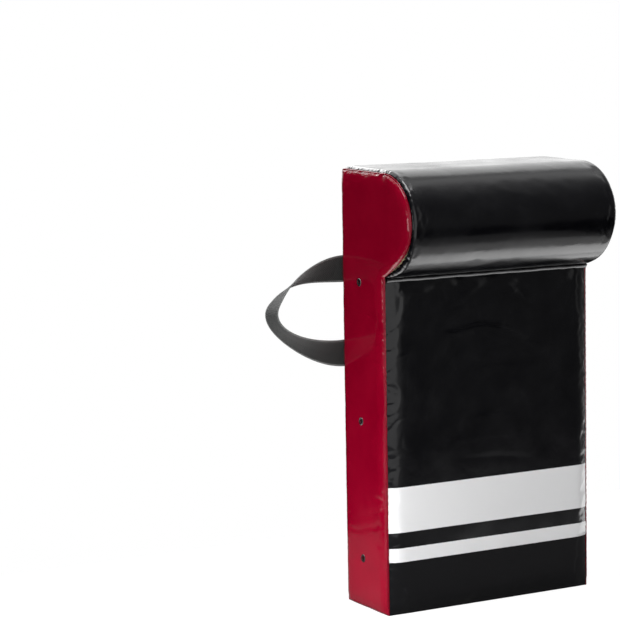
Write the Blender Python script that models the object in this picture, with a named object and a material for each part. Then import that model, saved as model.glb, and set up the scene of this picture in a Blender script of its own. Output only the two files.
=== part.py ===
"""Tackle wedge: a padded wall with an overhanging roll, for practising tackles.

A foam slab and a foam roll stand in a sewn cover of coated sheet. The back has a zip,
the sides have vent eyelets, and a webbing handle with half a turn in it is stitched on
at the back's left edge. Units are metres and +Z is up. The padded front faces -Y, the
handle reaches out to -X, and the origin is the centre of the base panel's underside.
"""

import math

import bmesh
import bpy
from mathutils import Matrix, Vector

MM = 0.001
CLEARANCE = 0.3 * MM
OVERRUN = 1 * MM

# Sewn form, measured at the seams
BODY_WIDTH = 440 * MM
BODY_DEPTH = 148 * MM
CREASE_HEIGHT = 624 * MM
HEAD_HEIGHT = 188 * MM
HEAD_DEPTH = 244 * MM
TOP_FALL = 3 * MM
CREASE_ANGLE = math.radians(26)

# The head's outline: the nose is its foremost point, and pulls are the curves' handles
NOSE_RISE_SHARE = 0.521
TOP_FLAT_SHARE = 0.615
SHOULDER_PULL_SHARE = 0.553
BROW_PULL_SHARE = 0.552
CHIN_PULL_SHARE = 0.459
CREASE_PULL_SHARE = 0.68

# Cover sheet and the crown that the foam gives each panel
SHEET = 1 * MM
SIDE_CROWN = 8 * MM
SIDE_REACH = 30 * MM
FRONT_CROWN = 5 * MM
FRONT_REACH = 30 * MM
HEAD_CROWN = 9 * MM
HEAD_REACH = 35 * MM
BACK_CROWN = 5 * MM
BACK_REACH = 40 * MM

# The foam's crown is a share of the cover's, which leaves the eyelets and seams their room
FOAM_SIDE_SHARE = 0.6
FOAM_FACE_SHARE = 0.9

# Each panel's edge is drawn in from its seam by this share of the fine gap
SEAM_PULL_SHARE = 0.75

# Shares of a crown's reach at which a panel has its rows, fine and plain
FINE_RISE_SHARES = (0.0, 0.08, 0.32, 1.0)
PLAIN_RISE_SHARES = (0.0, 0.32, 1.0)
FINE_CURVE_SHARES = (0.06, 0.2, 0.4, 0.6, 0.8, 1.0)
PLAIN_CURVE_SHARES = (0.2, 0.4, 0.6, 0.8, 1.0)

# Vent eyelets
EYELET_SETBACK = 70 * MM
EYELET_LOWEST = 94 * MM
EYELET_TOP_DROP = 15 * MM
EYELET_COUNT = 3
EYELET_BORE_RADIUS = 4 * MM
EYELET_WALL = 0.6 * MM
EYELET_FLANGE_RADIUS = 7.6 * MM
EYELET_DOME = 1.1 * MM
EYELET_LIP = 1.2 * MM
WASHER_THICKNESS = 0.6 * MM
WASHER_RADIUS = 7 * MM
EYELET_SIDES = 16

# Back zip
ZIP_LOW = 100 * MM
ZIP_TOP_MARGIN = 112 * MM
ZIP_SLOT = 20 * MM
TAPE_WIDTH = 18 * MM
TAPE_THICKNESS = 0.8 * MM
TAPE_PAST_SLOT = 14 * MM
TOOTH_PITCH = 6 * MM
TOOTH_HEIGHT = 2.4 * MM
TOOTH_LENGTH = 4.8 * MM
TOOTH_MESH = 0.9 * MM
TOOTH_WIDTH = 2.4 * MM
TOOTH_TIP_SHARE = 0.8
CHAIN_MARGIN = 12 * MM
STOP_LENGTH = 4 * MM

# Zip slider and pull tab
SLIDER_LENGTH = 17 * MM
SLIDER_WIDTH = 13 * MM
SLIDER_TAIL_WIDTH = 10.6 * MM
SLIDER_PLATE = 1.3 * MM
SLIDER_LIP = 0.9 * MM
SLIDER_NECK_WIDTH = 2.4 * MM
SLIDER_NECK_LENGTH = 3.5 * MM
PULL_WIDTH = 8 * MM
PULL_LENGTH = 30 * MM
PULL_THICKNESS = 1.6 * MM
PULL_BAR = 1.8 * MM
PULL_EDGE = 0.3 * MM
PULL_HOLE_RADIUS = 1.8 * MM
BAIL_BORE_RADIUS = 1.4 * MM
BAIL_WALL = 1.2 * MM
BAIL_WIDTH = 2.4 * MM
BAIL_ROUND_SHARE = 0.7
BAIL_DROP_SHARE = 0.4
BORE_SIDES = 16

# Webbing handle
WEB_WIDTH = 50 * MM
WEB_THICKNESS = 1.8 * MM
HANDLE_ROOT_RISE = 4 * MM
HANDLE_SPAN = 158 * MM
HANDLE_REACH = 142 * MM
HANDLE_APEX_DROP = 58 * MM
HANDLE_APEX_LEAN = math.radians(37)
HANDLE_TOP_PULL = 89 * MM
HANDLE_TOP_APEX_PULL = 37 * MM
HANDLE_LOW_APEX_PULL = 58 * MM
HANDLE_LOW_PULL = 58 * MM
HANDLE_TWIST_BIAS_SHARE = 0.4
HANDLE_STEPS = 24
SEWN_LENGTH = 62 * MM
SEWN_RISE_SHARES = (0.1, 0.2, 0.37, 0.62, 1.0)
SEWN_TIP_SHARE = 0.3
END_ROUND_DEGREES = (38, 72)
ROOT_OUTSET = 3 * MM
ROOT_RISE = 2.6 * MM

BACK_HEIGHT = CREASE_HEIGHT + HEAD_HEIGHT
ZIP_HIGH = BACK_HEIGHT - ZIP_TOP_MARGIN
HANDLE_TOP_ROOT = CREASE_HEIGHT + HANDLE_ROOT_RISE
HANDLE_LOW_ROOT = HANDLE_TOP_ROOT - HANDLE_SPAN
HANDLE_APEX_HEIGHT = HANDLE_TOP_ROOT - HANDLE_APEX_DROP
HALF_WIDTH = BODY_WIDTH / 2
FRONT_Y = -BODY_DEPTH / 2
BACK_Y = BODY_DEPTH / 2
SEAM_PULL = CLEARANCE * SEAM_PULL_SHARE
FOAM_INSET = SHEET + CLEARANCE

COLOURS = {
    "red_vinyl": ((0.26, 0.0, 0.018), 0.22, 0.0),
    "black_vinyl": ((0.004, 0.004, 0.006), 0.18, 0.0),
    "foam": ((0.55, 0.5, 0.3), 0.95, 0.0),
    "eyelet_metal": ((0.05, 0.05, 0.055), 0.3, 1.0),
    "webbing": ((0.022, 0.023, 0.023), 0.85, 0.0),
    "zip_tape": ((0.012, 0.012, 0.013), 0.9, 0.0),
    "zip_teeth": ((0.01, 0.01, 0.011), 0.4, 0.0),
    "zip_metal": ((0.06, 0.06, 0.065), 0.35, 1.0),
}


def clear_scene():
    for thing in list(bpy.data.objects):
        bpy.data.objects.remove(thing, do_unlink=True)


def material_of(name, colour_name):
    colour, roughness, metallic = COLOURS[colour_name]
    made = bpy.data.materials.new(name + "_finish")
    made.use_nodes = True
    shader = made.node_tree.nodes["Principled BSDF"]
    shader.inputs["Base Color"].default_value = (*colour, 1)
    shader.inputs["Roughness"].default_value = roughness
    shader.inputs["Metallic"].default_value = metallic
    return made


def object_from(name, mesh_builder, colour_name, smooth_angle=math.radians(35)):
    """Turn a bmesh into a named object with its own material and outward faces."""
    bmesh.ops.recalc_face_normals(mesh_builder, faces=mesh_builder.faces)
    mesh = bpy.data.meshes.new(name)
    mesh_builder.to_mesh(mesh)
    mesh_builder.free()
    mesh.shade_smooth()
    mesh.set_sharp_from_angle(angle=smooth_angle)
    made = bpy.data.objects.new(name, mesh)
    if colour_name:
        mesh.materials.append(material_of(name, colour_name))
    bpy.context.scene.collection.objects.link(made)
    return made


def hide_cutter(cutter):
    cutter.hide_render = True
    cutter.display_type = "WIRE"


def add_boolean(target, tool, operation):
    hide_cutter(tool)
    step = target.modifiers.new(tool.name, "BOOLEAN")
    step.operation = operation
    step.object = tool


def add_box(mesh_builder, low, high):
    """Add a box between two corners and return its vertices."""
    low, high = Vector(low), Vector(high)
    place = Matrix.Translation((low + high) / 2) @ Matrix.Diagonal((*(high - low), 1))
    return bmesh.ops.create_cube(mesh_builder, size=1, matrix=place)["verts"]


def box_object(name, low, high, colour_name):
    builder = bmesh.new()
    add_box(builder, low, high)
    return object_from(name, builder, colour_name)


# Sewn form: the P-shaped seam outline in rows and columns

def puff(distance, reach, height):
    """Height of a padded panel at a distance from its seam: a quarter of an ellipse."""
    share = min(max(distance / reach, 0), 1)
    return height * math.sqrt(1 - (1 - share) ** 2)


def run_stations(length, reach, rise_shares, inner=()):
    """Distances along a run from seam to seam, close together where the crown rises."""
    rise = [share * reach for share in rise_shares]
    return rise + list(inner) + [length - distance for distance in reversed(rise)]


def bezier(start, start_pull, end_pull, end, share):
    rest = 1 - share
    return (
        start * rest ** 3
        + start_pull * 3 * rest ** 2 * share
        + end_pull * 3 * rest * share ** 2
        + end * share ** 3
    )


def head_curve(curve_shares):
    """Seam points from the crease, round the roll, to where the flat top starts."""
    crease = Vector((FRONT_Y, CREASE_HEIGHT))
    nose = Vector((BACK_Y - HEAD_DEPTH, CREASE_HEIGHT + HEAD_HEIGHT * NOSE_RISE_SHARE))
    shoulder = Vector((BACK_Y - HEAD_DEPTH * TOP_FLAT_SHARE, BACK_HEIGHT - TOP_FALL))
    out = Vector((-math.cos(CREASE_ANGLE), math.sin(CREASE_ANGLE)))
    overhang, shoulder_run = crease.x - nose.x, shoulder.x - nose.x
    chin_pull = Vector((0, (nose.y - crease.y) * CHIN_PULL_SHARE))
    crease_pull = out * overhang * CREASE_PULL_SHARE
    brow_pull = Vector((0, (shoulder.y - nose.y) * BROW_PULL_SHARE))
    shoulder_pull = Vector((shoulder_run * SHOULDER_PULL_SHARE, 0))
    chin = [
        bezier(crease, crease + crease_pull, nose - chin_pull, nose, share)
        for share in curve_shares
    ]
    brow = [
        bezier(nose, nose + brow_pull, shoulder - shoulder_pull, shoulder, share)
        for share in curve_shares
    ]
    return chin + brow


def inset_ring(ring, distance):
    """Move a closed outline inwards by a distance, with mitred corners."""
    moved = []
    for index, point in enumerate(ring):
        before = (point - ring[index - 1]).normalized()
        after = (ring[(index + 1) % len(ring)] - point).normalized()
        first = Vector((-before.y, before.x))
        second = Vector((-after.y, after.x))
        moved.append(point - (first + second) * distance / (1 + first.dot(second)))
    return moved


class SideGrid:
    """The side panel's outline cut into rows from the back edge to the front edge."""

    def __init__(self, rise_shares, curve_shares):
        slab = run_stations(CREASE_HEIGHT, SIDE_REACH, rise_shares)
        self.fronts = [Vector((FRONT_Y, height)) for height in slab] + head_curve(curve_shares)
        self.crease_row = len(slab) - 1
        self.backs = [Vector((BACK_Y, front.y)) for front in self.fronts[:-1]]
        self.backs.append(Vector((BACK_Y, BACK_HEIGHT)))
        self.shares = [
            [
                distance / (front - back).length
                for distance in run_stations((front - back).length, SIDE_REACH, rise_shares)
            ]
            for back, front in zip(self.backs, self.fronts)
        ]
        self.outline = self.ring(0)

    def across(self, row, backs, fronts):
        return [backs[row].lerp(fronts[row], share) for share in self.shares[row]]

    def ring(self, distance):
        last = len(self.fronts) - 1
        top = self.across(last, self.backs, self.fronts)[1:-1]
        base = self.across(0, self.backs, self.fronts)[1:-1]
        whole = self.fronts + top[::-1] + self.backs[::-1] + base
        return inset_ring(whole, distance)

    def edges(self, distance):
        """Back and front points of every row, moved inwards."""
        ring = self.ring(distance)
        count = len(self.fronts)
        columns = len(self.shares[0]) - 2
        return ring[count + columns:2 * count + columns][::-1], ring[:count]

    def grid(self, distance):
        backs, fronts = self.edges(distance)
        return [self.across(row, backs, fronts) for row in range(len(backs))]

    def head_run(self, distance):
        """Points of the head panel from the crease to the back's top edge."""
        rows = self.grid(distance)
        return [row[-1] for row in rows[self.crease_row:]] + rows[-1][-2::-1]

    def seam_distance(self, point):
        nearest = BODY_WIDTH
        for index, end in enumerate(self.outline):
            start = self.outline[index - 1]
            along = end - start
            share = (point - start).dot(along) / along.length_squared
            foot = start + along * min(max(share, 0), 1)
            nearest = min(nearest, (point - foot).length)
        return nearest


def side_patch(side_grid, sign, inset, rows=None, crown_share=1.0):
    """A side panel's surface as a grid of points, at one depth below the cover."""
    outer_rows = side_grid.grid(0)
    inner_rows = side_grid.grid(inset)
    patch = []
    for row in rows or range(len(outer_rows)):
        points = []
        for outer, inner in zip(outer_rows[row], inner_rows[row]):
            crown = puff(side_grid.seam_distance(outer), SIDE_REACH, SIDE_CROWN) * crown_share
            points.append(Vector((sign * (HALF_WIDTH - inset + crown), inner.x, inner.y)))
        patch.append(points)
    return patch


def swept_patch(outer_run, inner_run, widths, inset, crown, reach):
    """A front, head or back surface: a run of seam points carried across the width.

    It rises by the crown away from all four seams, square to the run.
    """
    travelled = [0.0]
    for start, end in zip(outer_run, outer_run[1:]):
        travelled.append(travelled[-1] + (end - start).length)
    patch = []
    for index, inner in enumerate(inner_run):
        before = outer_run[max(index - 1, 0)]
        after = outer_run[min(index + 1, len(outer_run) - 1)]
        along = (after - before).normalized()
        outward = Vector((-along.y, along.x))
        end_distance = min(travelled[index], travelled[-1] - travelled[index])
        rise = puff(end_distance, reach, crown)
        points = []
        for width in widths:
            side_distance = min(width, BODY_WIDTH - width)
            height = rise * puff(side_distance, reach, 1)
            place = inner + outward * height
            across = (width / BODY_WIDTH * 2 - 1) * (HALF_WIDTH - inset)
            points.append(Vector((across, place.x, place.y)))
        patch.append(points)
    return patch


def straight_run(start, end, stations):
    return [start.lerp(end, station / stations[-1]) for station in stations]


def pull_from_seams(patch):
    """Draw a panel's edges in, so that panels meet at a seam with a fine gap."""
    def drawn(edge, inner):
        return edge + (inner - edge).normalized() * SEAM_PULL

    rows = [list(row) for row in patch]
    for row in rows:
        row[0], row[-1] = drawn(row[0], row[1]), drawn(row[-1], row[-2])
    first = [drawn(edge, inner) for edge, inner in zip(rows[0], rows[1])]
    last = [drawn(edge, inner) for edge, inner in zip(rows[-1], rows[-2])]
    return [first] + rows[1:-1] + [last]


def panel_from(name, outer, inner, colour_name, open_cells=()):
    """Close two grids of points into one sheet, with a rim round every free edge.

    The four corner cells are split from the seams' corner inwards, where the crown has
    its ridge.
    """
    builder = bmesh.new()
    tops = [[builder.verts.new(point) for point in row] for row in pull_from_seams(outer)]
    lows = [[builder.verts.new(point) for point in row] for row in pull_from_seams(inner)]
    rim = {}
    last_row, last_column = len(tops) - 2, len(tops[0]) - 2
    for row in range(last_row + 1):
        for column in range(last_column + 1):
            if (row, column) in open_cells:
                continue
            corners = [(row, column), (row, column + 1), (row + 1, column + 1), (row + 1, column)]
            faces = [corners]
            if row in (0, last_row) and column in (0, last_column):
                first = 0 if (row == 0) == (column == 0) else 1
                turned = corners[first:] + corners[:first]
                faces = [turned[:3], turned[2:] + turned[:1]]
            for face in faces:
                builder.faces.new([tops[i][j] for i, j in face])
                builder.faces.new([lows[i][j] for i, j in reversed(face)])
            for start, end in zip(corners, corners[1:] + corners[:1]):
                if (end, start) in rim:
                    del rim[(end, start)]
                else:
                    rim[(start, end)] = True
    for start, end in rim:
        builder.faces.new(
            [tops[end[0]][end[1]], tops[start[0]][start[1]],
             lows[start[0]][start[1]], lows[end[0]][end[1]]]
        )
    loose = [vertex for vertex in builder.verts if not vertex.link_faces]
    bmesh.ops.delete(builder, geom=loose, context="VERTS")
    return object_from(name, builder, colour_name)


def closed_body(name, patches, caps, colour_name):
    """Join surfaces that share their seam points, and flat caps, into one body."""
    builder = bmesh.new()
    for patch in patches:
        rows = [[builder.verts.new(point) for point in row] for row in patch]
        for low, high in zip(rows, rows[1:]):
            for column in range(len(low) - 1):
                builder.faces.new([low[column], low[column + 1], high[column + 1], high[column]])
    for cap in caps:
        builder.faces.new([builder.verts.new(point) for point in cap])
    bmesh.ops.remove_doubles(builder, verts=builder.verts, dist=CLEARANCE / 10)
    return object_from(name, builder, colour_name)


# Cover panels

FINE = SideGrid(FINE_RISE_SHARES, FINE_CURVE_SHARES)
PLAIN = SideGrid(PLAIN_RISE_SHARES, PLAIN_CURVE_SHARES)


def eyelet_heights():
    pitch = (CREASE_HEIGHT - EYELET_TOP_DROP - EYELET_LOWEST) / (EYELET_COUNT - 1)
    return [EYELET_LOWEST + pitch * index for index in range(EYELET_COUNT)]


def barrel_radius():
    return EYELET_BORE_RADIUS + EYELET_WALL


def make_side_panel(name, sign):
    panel = panel_from(
        name, side_patch(FINE, sign, 0), side_patch(FINE, sign, SHEET), "red_vinyl"
    )
    holes = bmesh.new()
    for height in eyelet_heights():
        place = Matrix.Translation((sign * HALF_WIDTH, BACK_Y - EYELET_SETBACK, height))
        bmesh.ops.create_cone(
            holes,
            cap_ends=True,
            segments=EYELET_SIDES,
            radius1=barrel_radius() + CLEARANCE,
            radius2=barrel_radius() + CLEARANCE,
            depth=2 * (SIDE_CROWN + OVERRUN),
            matrix=place @ Matrix.Rotation(math.pi / 2, 4, "Y"),
        )
    add_boolean(panel, object_from(name + "_holes", holes, None), "DIFFERENCE")


def make_front_panel():
    widths = run_stations(BODY_WIDTH, FRONT_REACH, FINE_RISE_SHARES)
    heights = run_stations(CREASE_HEIGHT, FRONT_REACH, FINE_RISE_SHARES)
    shells = []
    outer_run = straight_run(FINE.fronts[0], FINE.fronts[FINE.crease_row], heights)
    for inset in (0, SHEET):
        fronts = FINE.edges(inset)[1]
        run = straight_run(fronts[0], fronts[FINE.crease_row], heights)
        shells.append(swept_patch(outer_run, run, widths, inset, FRONT_CROWN, FRONT_REACH))
    panel_from("front_panel", *shells, "black_vinyl")


def make_head_panel():
    widths = run_stations(BODY_WIDTH, HEAD_REACH, FINE_RISE_SHARES)
    shells = [
        swept_patch(
            FINE.head_run(0), FINE.head_run(inset), widths, inset, HEAD_CROWN, HEAD_REACH
        )
        for inset in (0, SHEET)
    ]
    panel_from("head_wrap_panel", *shells, "black_vinyl")


def make_back_panel():
    slot_edges = (HALF_WIDTH - ZIP_SLOT / 2, HALF_WIDTH + ZIP_SLOT / 2)
    widths = run_stations(BODY_WIDTH, BACK_REACH, FINE_RISE_SHARES, slot_edges)
    heights = run_stations(BACK_HEIGHT, BACK_REACH, FINE_RISE_SHARES, (ZIP_LOW, ZIP_HIGH))
    outer_run = straight_run(FINE.backs[0], FINE.backs[-1], heights)
    shells = []
    for inset in (0, SHEET):
        backs = FINE.edges(inset)[0]
        run = straight_run(backs[0], backs[-1], heights)
        shells.append(swept_patch(outer_run, run, widths, inset, -BACK_CROWN, BACK_REACH))
    rise_count = len(FINE_RISE_SHARES)
    slot_cell = (rise_count, rise_count)
    panel_from("back_panel", *shells, "black_vinyl", open_cells=(slot_cell,))


def make_base_panel():
    shells = []
    for inset in (0, SHEET):
        backs, fronts = FINE.edges(inset)
        rows = []
        for sign in (-1, 1):
            across = sign * (HALF_WIDTH - inset)
            rows.append([Vector((across, end.x, end.y)) for end in (backs[0], fronts[0])])
        shells.append(rows)
    panel_from("base_panel", *shells, "black_vinyl")


# Foam

def foam_widths(reach):
    return run_stations(BODY_WIDTH, reach, PLAIN_RISE_SHARES)


def foam_ring(row, reach):
    """The foam's closed edge at one row: at the floor, or where slab and roll are glued."""
    left = side_patch(PLAIN, -1, FOAM_INSET, [row], FOAM_SIDE_SHARE)[0]
    right = side_patch(PLAIN, 1, FOAM_INSET, [row], FOAM_SIDE_SHARE)[0]
    inner_widths = foam_widths(reach)[1:-1]
    across = [(width / BODY_WIDTH * 2 - 1) * (HALF_WIDTH - FOAM_INSET) for width in inner_widths]
    front = [Vector((x, left[-1].y, left[-1].z)) for x in across]
    back = [Vector((x, left[0].y, left[0].z)) for x in across]
    return left + front + right[::-1] + back[::-1]


def foam_patches(rows, reach):
    """The foam's two sides and its flat back, over some of the rows."""
    sides = [
        side_patch(PLAIN, sign, FOAM_INSET, rows, FOAM_SIDE_SHARE) for sign in (-1, 1)
    ]
    back_run = [PLAIN.backs[row] for row in rows]
    inset_backs = PLAIN.edges(FOAM_INSET)[0]
    inner_run = [inset_backs[row] for row in rows]
    back = swept_patch(back_run, inner_run, foam_widths(reach), FOAM_INSET, 0, reach)
    return sides + [back]


def shift_ring(patches, glue_height, shift):
    """Lift or lower the glued edge of a foam body by half of the fine gap."""
    for patch in patches:
        for row in patch:
            for point in row:
                if abs(point.z - glue_height(point)) < CLEARANCE / 10:
                    point.z += shift


def make_foam():
    crease = PLAIN.crease_row
    inset_fronts = PLAIN.edges(FOAM_INSET)[1]
    low, high = PLAIN.edges(FOAM_INSET)[0][crease], inset_fronts[crease]

    def glue_height(point):
        return low.y + (high.y - low.y) * (point.y - low.x) / (high.x - low.x)

    front = swept_patch(
        PLAIN.fronts[:crease + 1],
        inset_fronts[:crease + 1],
        foam_widths(FRONT_REACH),
        FOAM_INSET,
        FRONT_CROWN * FOAM_FACE_SHARE,
        FRONT_REACH,
    )
    slab_rows = list(range(crease + 1))
    slab = foam_patches(slab_rows, FRONT_REACH) + [front, [foam_ring(crease, FRONT_REACH)]]
    shift_ring(slab, glue_height, -CLEARANCE / 2)
    caps = [slab.pop()[0], foam_ring(0, FRONT_REACH)]
    closed_body("foam_core_slab", slab, caps, "foam")

    wrap = swept_patch(
        PLAIN.head_run(0),
        PLAIN.head_run(FOAM_INSET),
        foam_widths(HEAD_REACH),
        FOAM_INSET,
        HEAD_CROWN * FOAM_FACE_SHARE,
        HEAD_REACH,
    )
    head_rows = list(range(crease, len(PLAIN.fronts)))
    head = foam_patches(head_rows, HEAD_REACH) + [wrap, [foam_ring(crease, HEAD_REACH)]]
    shift_ring(head, glue_height, CLEARANCE / 2)
    caps = [head.pop()[0]]
    closed_body("foam_head_roll", head, caps, "foam")


# Vent eyelets

def turned_ring(builder, profile, centre, sign):
    """Spin a closed profile of (radius, height) once round an axis along X."""
    verts = [builder.verts.new(centre + Vector((sign * height, 0, radius)))
             for radius, height in profile]
    edges = [builder.edges.new(pair) for pair in zip(verts, verts[1:] + verts[:1])]
    bmesh.ops.spin(
        builder,
        geom=verts + edges,
        cent=centre,
        axis=(1, 0, 0),
        angle=2 * math.pi,
        steps=EYELET_SIDES,
        use_duplicate=False,
    )


def make_eyelets(side_name, sign):
    bore = EYELET_BORE_RADIUS
    barrel = barrel_radius()
    seat = CLEARANCE
    washer_top = -SHEET - CLEARANCE
    lip_top = washer_top - WASHER_THICKNESS - CLEARANCE
    lip_low = lip_top - EYELET_WALL
    crest = (bore + EYELET_FLANGE_RADIUS) / 2
    eyelet = [
        (EYELET_FLANGE_RADIUS, seat),
        (EYELET_FLANGE_RADIUS - EYELET_WALL / 2, seat + EYELET_WALL),
        (crest, seat + EYELET_DOME),
        (bore + EYELET_WALL / 2, seat + EYELET_WALL),
        (bore, seat - EYELET_WALL),
        (bore, lip_low + EYELET_WALL / 2),
        (bore + EYELET_WALL / 2, lip_low),
        (barrel + EYELET_LIP, lip_low),
        (barrel + EYELET_LIP, lip_top),
        (barrel, lip_top),
        (barrel, seat),
    ]
    washer = [
        (barrel + CLEARANCE, washer_top),
        (WASHER_RADIUS, washer_top),
        (WASHER_RADIUS, washer_top - WASHER_THICKNESS),
        (barrel + CLEARANCE, washer_top - WASHER_THICKNESS),
    ]
    for label, profile in (("eyelet", eyelet), ("eyelet_washer", washer)):
        for number, height in enumerate(eyelet_heights(), start=1):
            builder = bmesh.new()
            centre = Vector((sign * (HALF_WIDTH + SIDE_CROWN), BACK_Y - EYELET_SETBACK, height))
            turned_ring(builder, profile, centre, sign)
            bmesh.ops.remove_doubles(builder, verts=builder.verts, dist=CLEARANCE / 10)
            object_from(f"{side_name}_{label}_{number}", builder, "eyelet_metal")


# Back zip: two tapes under the slot's edges, meshing teeth, stops, slider and pull tab

TAPE_FACE = BACK_Y + BACK_CROWN - SHEET - CLEARANCE
CHAIN_Y = TAPE_FACE - TAPE_THICKNESS / 2
TAPE_EDGE = TOOTH_LENGTH - TOOTH_MESH
CHAIN_TOP = ZIP_HIGH - CHAIN_MARGIN - STOP_LENGTH - SLIDER_NECK_LENGTH
BOTTOM_STOP_Z = ZIP_LOW + SHEET + CLEARANCE
CHAIN_LOW = BOTTOM_STOP_Z + STOP_LENGTH + CLEARANCE


def tooth_span(index, offset):
    """Lowest and highest point of one tooth's root, counted down from the chain's top."""
    top = CHAIN_TOP - TOOTH_PITCH * (index + offset)
    return top - TOOTH_WIDTH, top


def make_stringer(name, sign, offset):
    """A zip tape with the teeth moulded on its inner edge, as one body.

    The tape's edge has a point on each face at the foot of every tooth. Each tooth grows
    from there, thicker than the tape and narrower at its tip.
    """
    count = int((CHAIN_TOP - CHAIN_LOW) / TOOTH_PITCH)
    edge_x, tip_x = sign * TAPE_EDGE, -sign * TOOTH_MESH
    far_x = sign * (TAPE_EDGE + TAPE_WIDTH)
    thin, thick = TAPE_THICKNESS / 2, TOOTH_HEIGHT / 2
    builder = bmesh.new()

    def corner(x, depth, height):
        return builder.verts.new((x, CHAIN_Y + depth, height))

    def ends(x, height):
        return corner(x, -thin, height), corner(x, thin, height)

    low, high = ZIP_LOW - TAPE_PAST_SLOT, ZIP_HIGH + TAPE_PAST_SLOT
    far_low, far_high = ends(far_x, low), ends(far_x, high)
    edge = [ends(edge_x, high)]
    for index in range(count):
        bottom, top = tooth_span(index, offset)
        middle = (bottom + top) / 2
        tip_half = TOOTH_WIDTH / 2 * TOOTH_TIP_SHARE
        tip_depth = thick * TOOTH_TIP_SHARE
        rings = []
        for root_z, tip_z in ((top, middle + tip_half), (bottom, middle - tip_half)):
            inner, outer = ends(edge_x, root_z)
            edge.append((inner, outer))
            rings.append([
                inner,
                outer,
                corner(edge_x, thick, root_z),
                corner(tip_x, tip_depth, tip_z),
                corner(tip_x, -tip_depth, tip_z),
                corner(edge_x, -thick, root_z),
            ])
        for ring in rings:
            builder.faces.new(ring)
        for start in range(1, len(rings[0])):
            after = (start + 1) % len(rings[0])
            builder.faces.new([rings[0][start], rings[0][after], rings[1][after], rings[1][start]])
    edge.append(ends(edge_x, low))
    for above, below in zip(edge[::2], edge[1::2]):
        builder.faces.new([above[0], above[1], below[1], below[0]])
    for face in (0, 1):
        builder.faces.new([far_low[face], far_high[face]] + [pair[face] for pair in edge])
    builder.faces.new([far_low[0], far_low[1], far_high[1], far_high[0]])
    builder.faces.new([far_low[0], far_low[1], edge[-1][1], edge[-1][0]])
    builder.faces.new([far_high[0], far_high[1], edge[0][1], edge[0][0]])
    object_from(name, builder, "zip_tape")


def make_stops():
    low = CHAIN_TOP + SLIDER_NECK_LENGTH + 3 * CLEARANCE + OVERRUN
    for name, sign in (("zip_top_stop_left", -1), ("zip_top_stop_right", 1)):
        near, far = sign * (SLIDER_NECK_WIDTH / 2 + CLEARANCE), sign * (TAPE_EDGE - CLEARANCE)
        box_object(
            name,
            (min(near, far), CHAIN_Y - TOOTH_HEIGHT / 2, low),
            (max(near, far), CHAIN_Y + TOOTH_HEIGHT / 2, low + STOP_LENGTH),
            "zip_metal",
        )
    reach = TAPE_EDGE + STOP_LENGTH / 2
    box_object(
        "zip_bottom_stop",
        (-reach, TAPE_FACE + CLEARANCE, BOTTOM_STOP_Z),
        (reach, CHAIN_Y + TOOTH_HEIGHT / 2 + CLEARANCE, BOTTOM_STOP_Z + STOP_LENGTH),
        "zip_metal",
    )


SLIDER_TOP = CHAIN_TOP + SLIDER_NECK_LENGTH + 2 * CLEARANCE + OVERRUN
SLIDER_LOW = SLIDER_TOP - SLIDER_LENGTH
PLATE_INNER = TOOTH_HEIGHT / 2 + CLEARANCE
PLATE_OUTER = PLATE_INNER + SLIDER_PLATE
PULL_AXIS_Y = CHAIN_Y + PLATE_OUTER + BAIL_BORE_RADIUS
PULL_AXIS_Z = SLIDER_TOP - SLIDER_LENGTH * BAIL_DROP_SHARE


def slider_plate(name, facing, colour_name):
    """One plate with its two lips: a channel that is wider at the top."""
    lip_end = TAPE_THICKNESS / 2 + CLEARANCE
    builder = bmesh.new()
    rings = []
    for height, width in ((SLIDER_LOW, SLIDER_TAIL_WIDTH), (SLIDER_TOP, SLIDER_WIDTH)):
        half = width / 2
        section = [
            (-half, PLATE_OUTER), (half, PLATE_OUTER), (half, lip_end),
            (half - SLIDER_LIP, lip_end), (half - SLIDER_LIP, PLATE_INNER),
            (SLIDER_LIP - half, PLATE_INNER), (SLIDER_LIP - half, lip_end), (-half, lip_end),
        ]
        rings.append([
            builder.verts.new((x, CHAIN_Y + facing * depth, height)) for x, depth in section
        ])
    low, high = rings
    builder.faces.new(low)
    builder.faces.new(high)
    for index in range(len(low)):
        after = (index + 1) % len(low)
        builder.faces.new([low[index], low[after], high[after], high[index]])
    return object_from(name, builder, colour_name)


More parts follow.
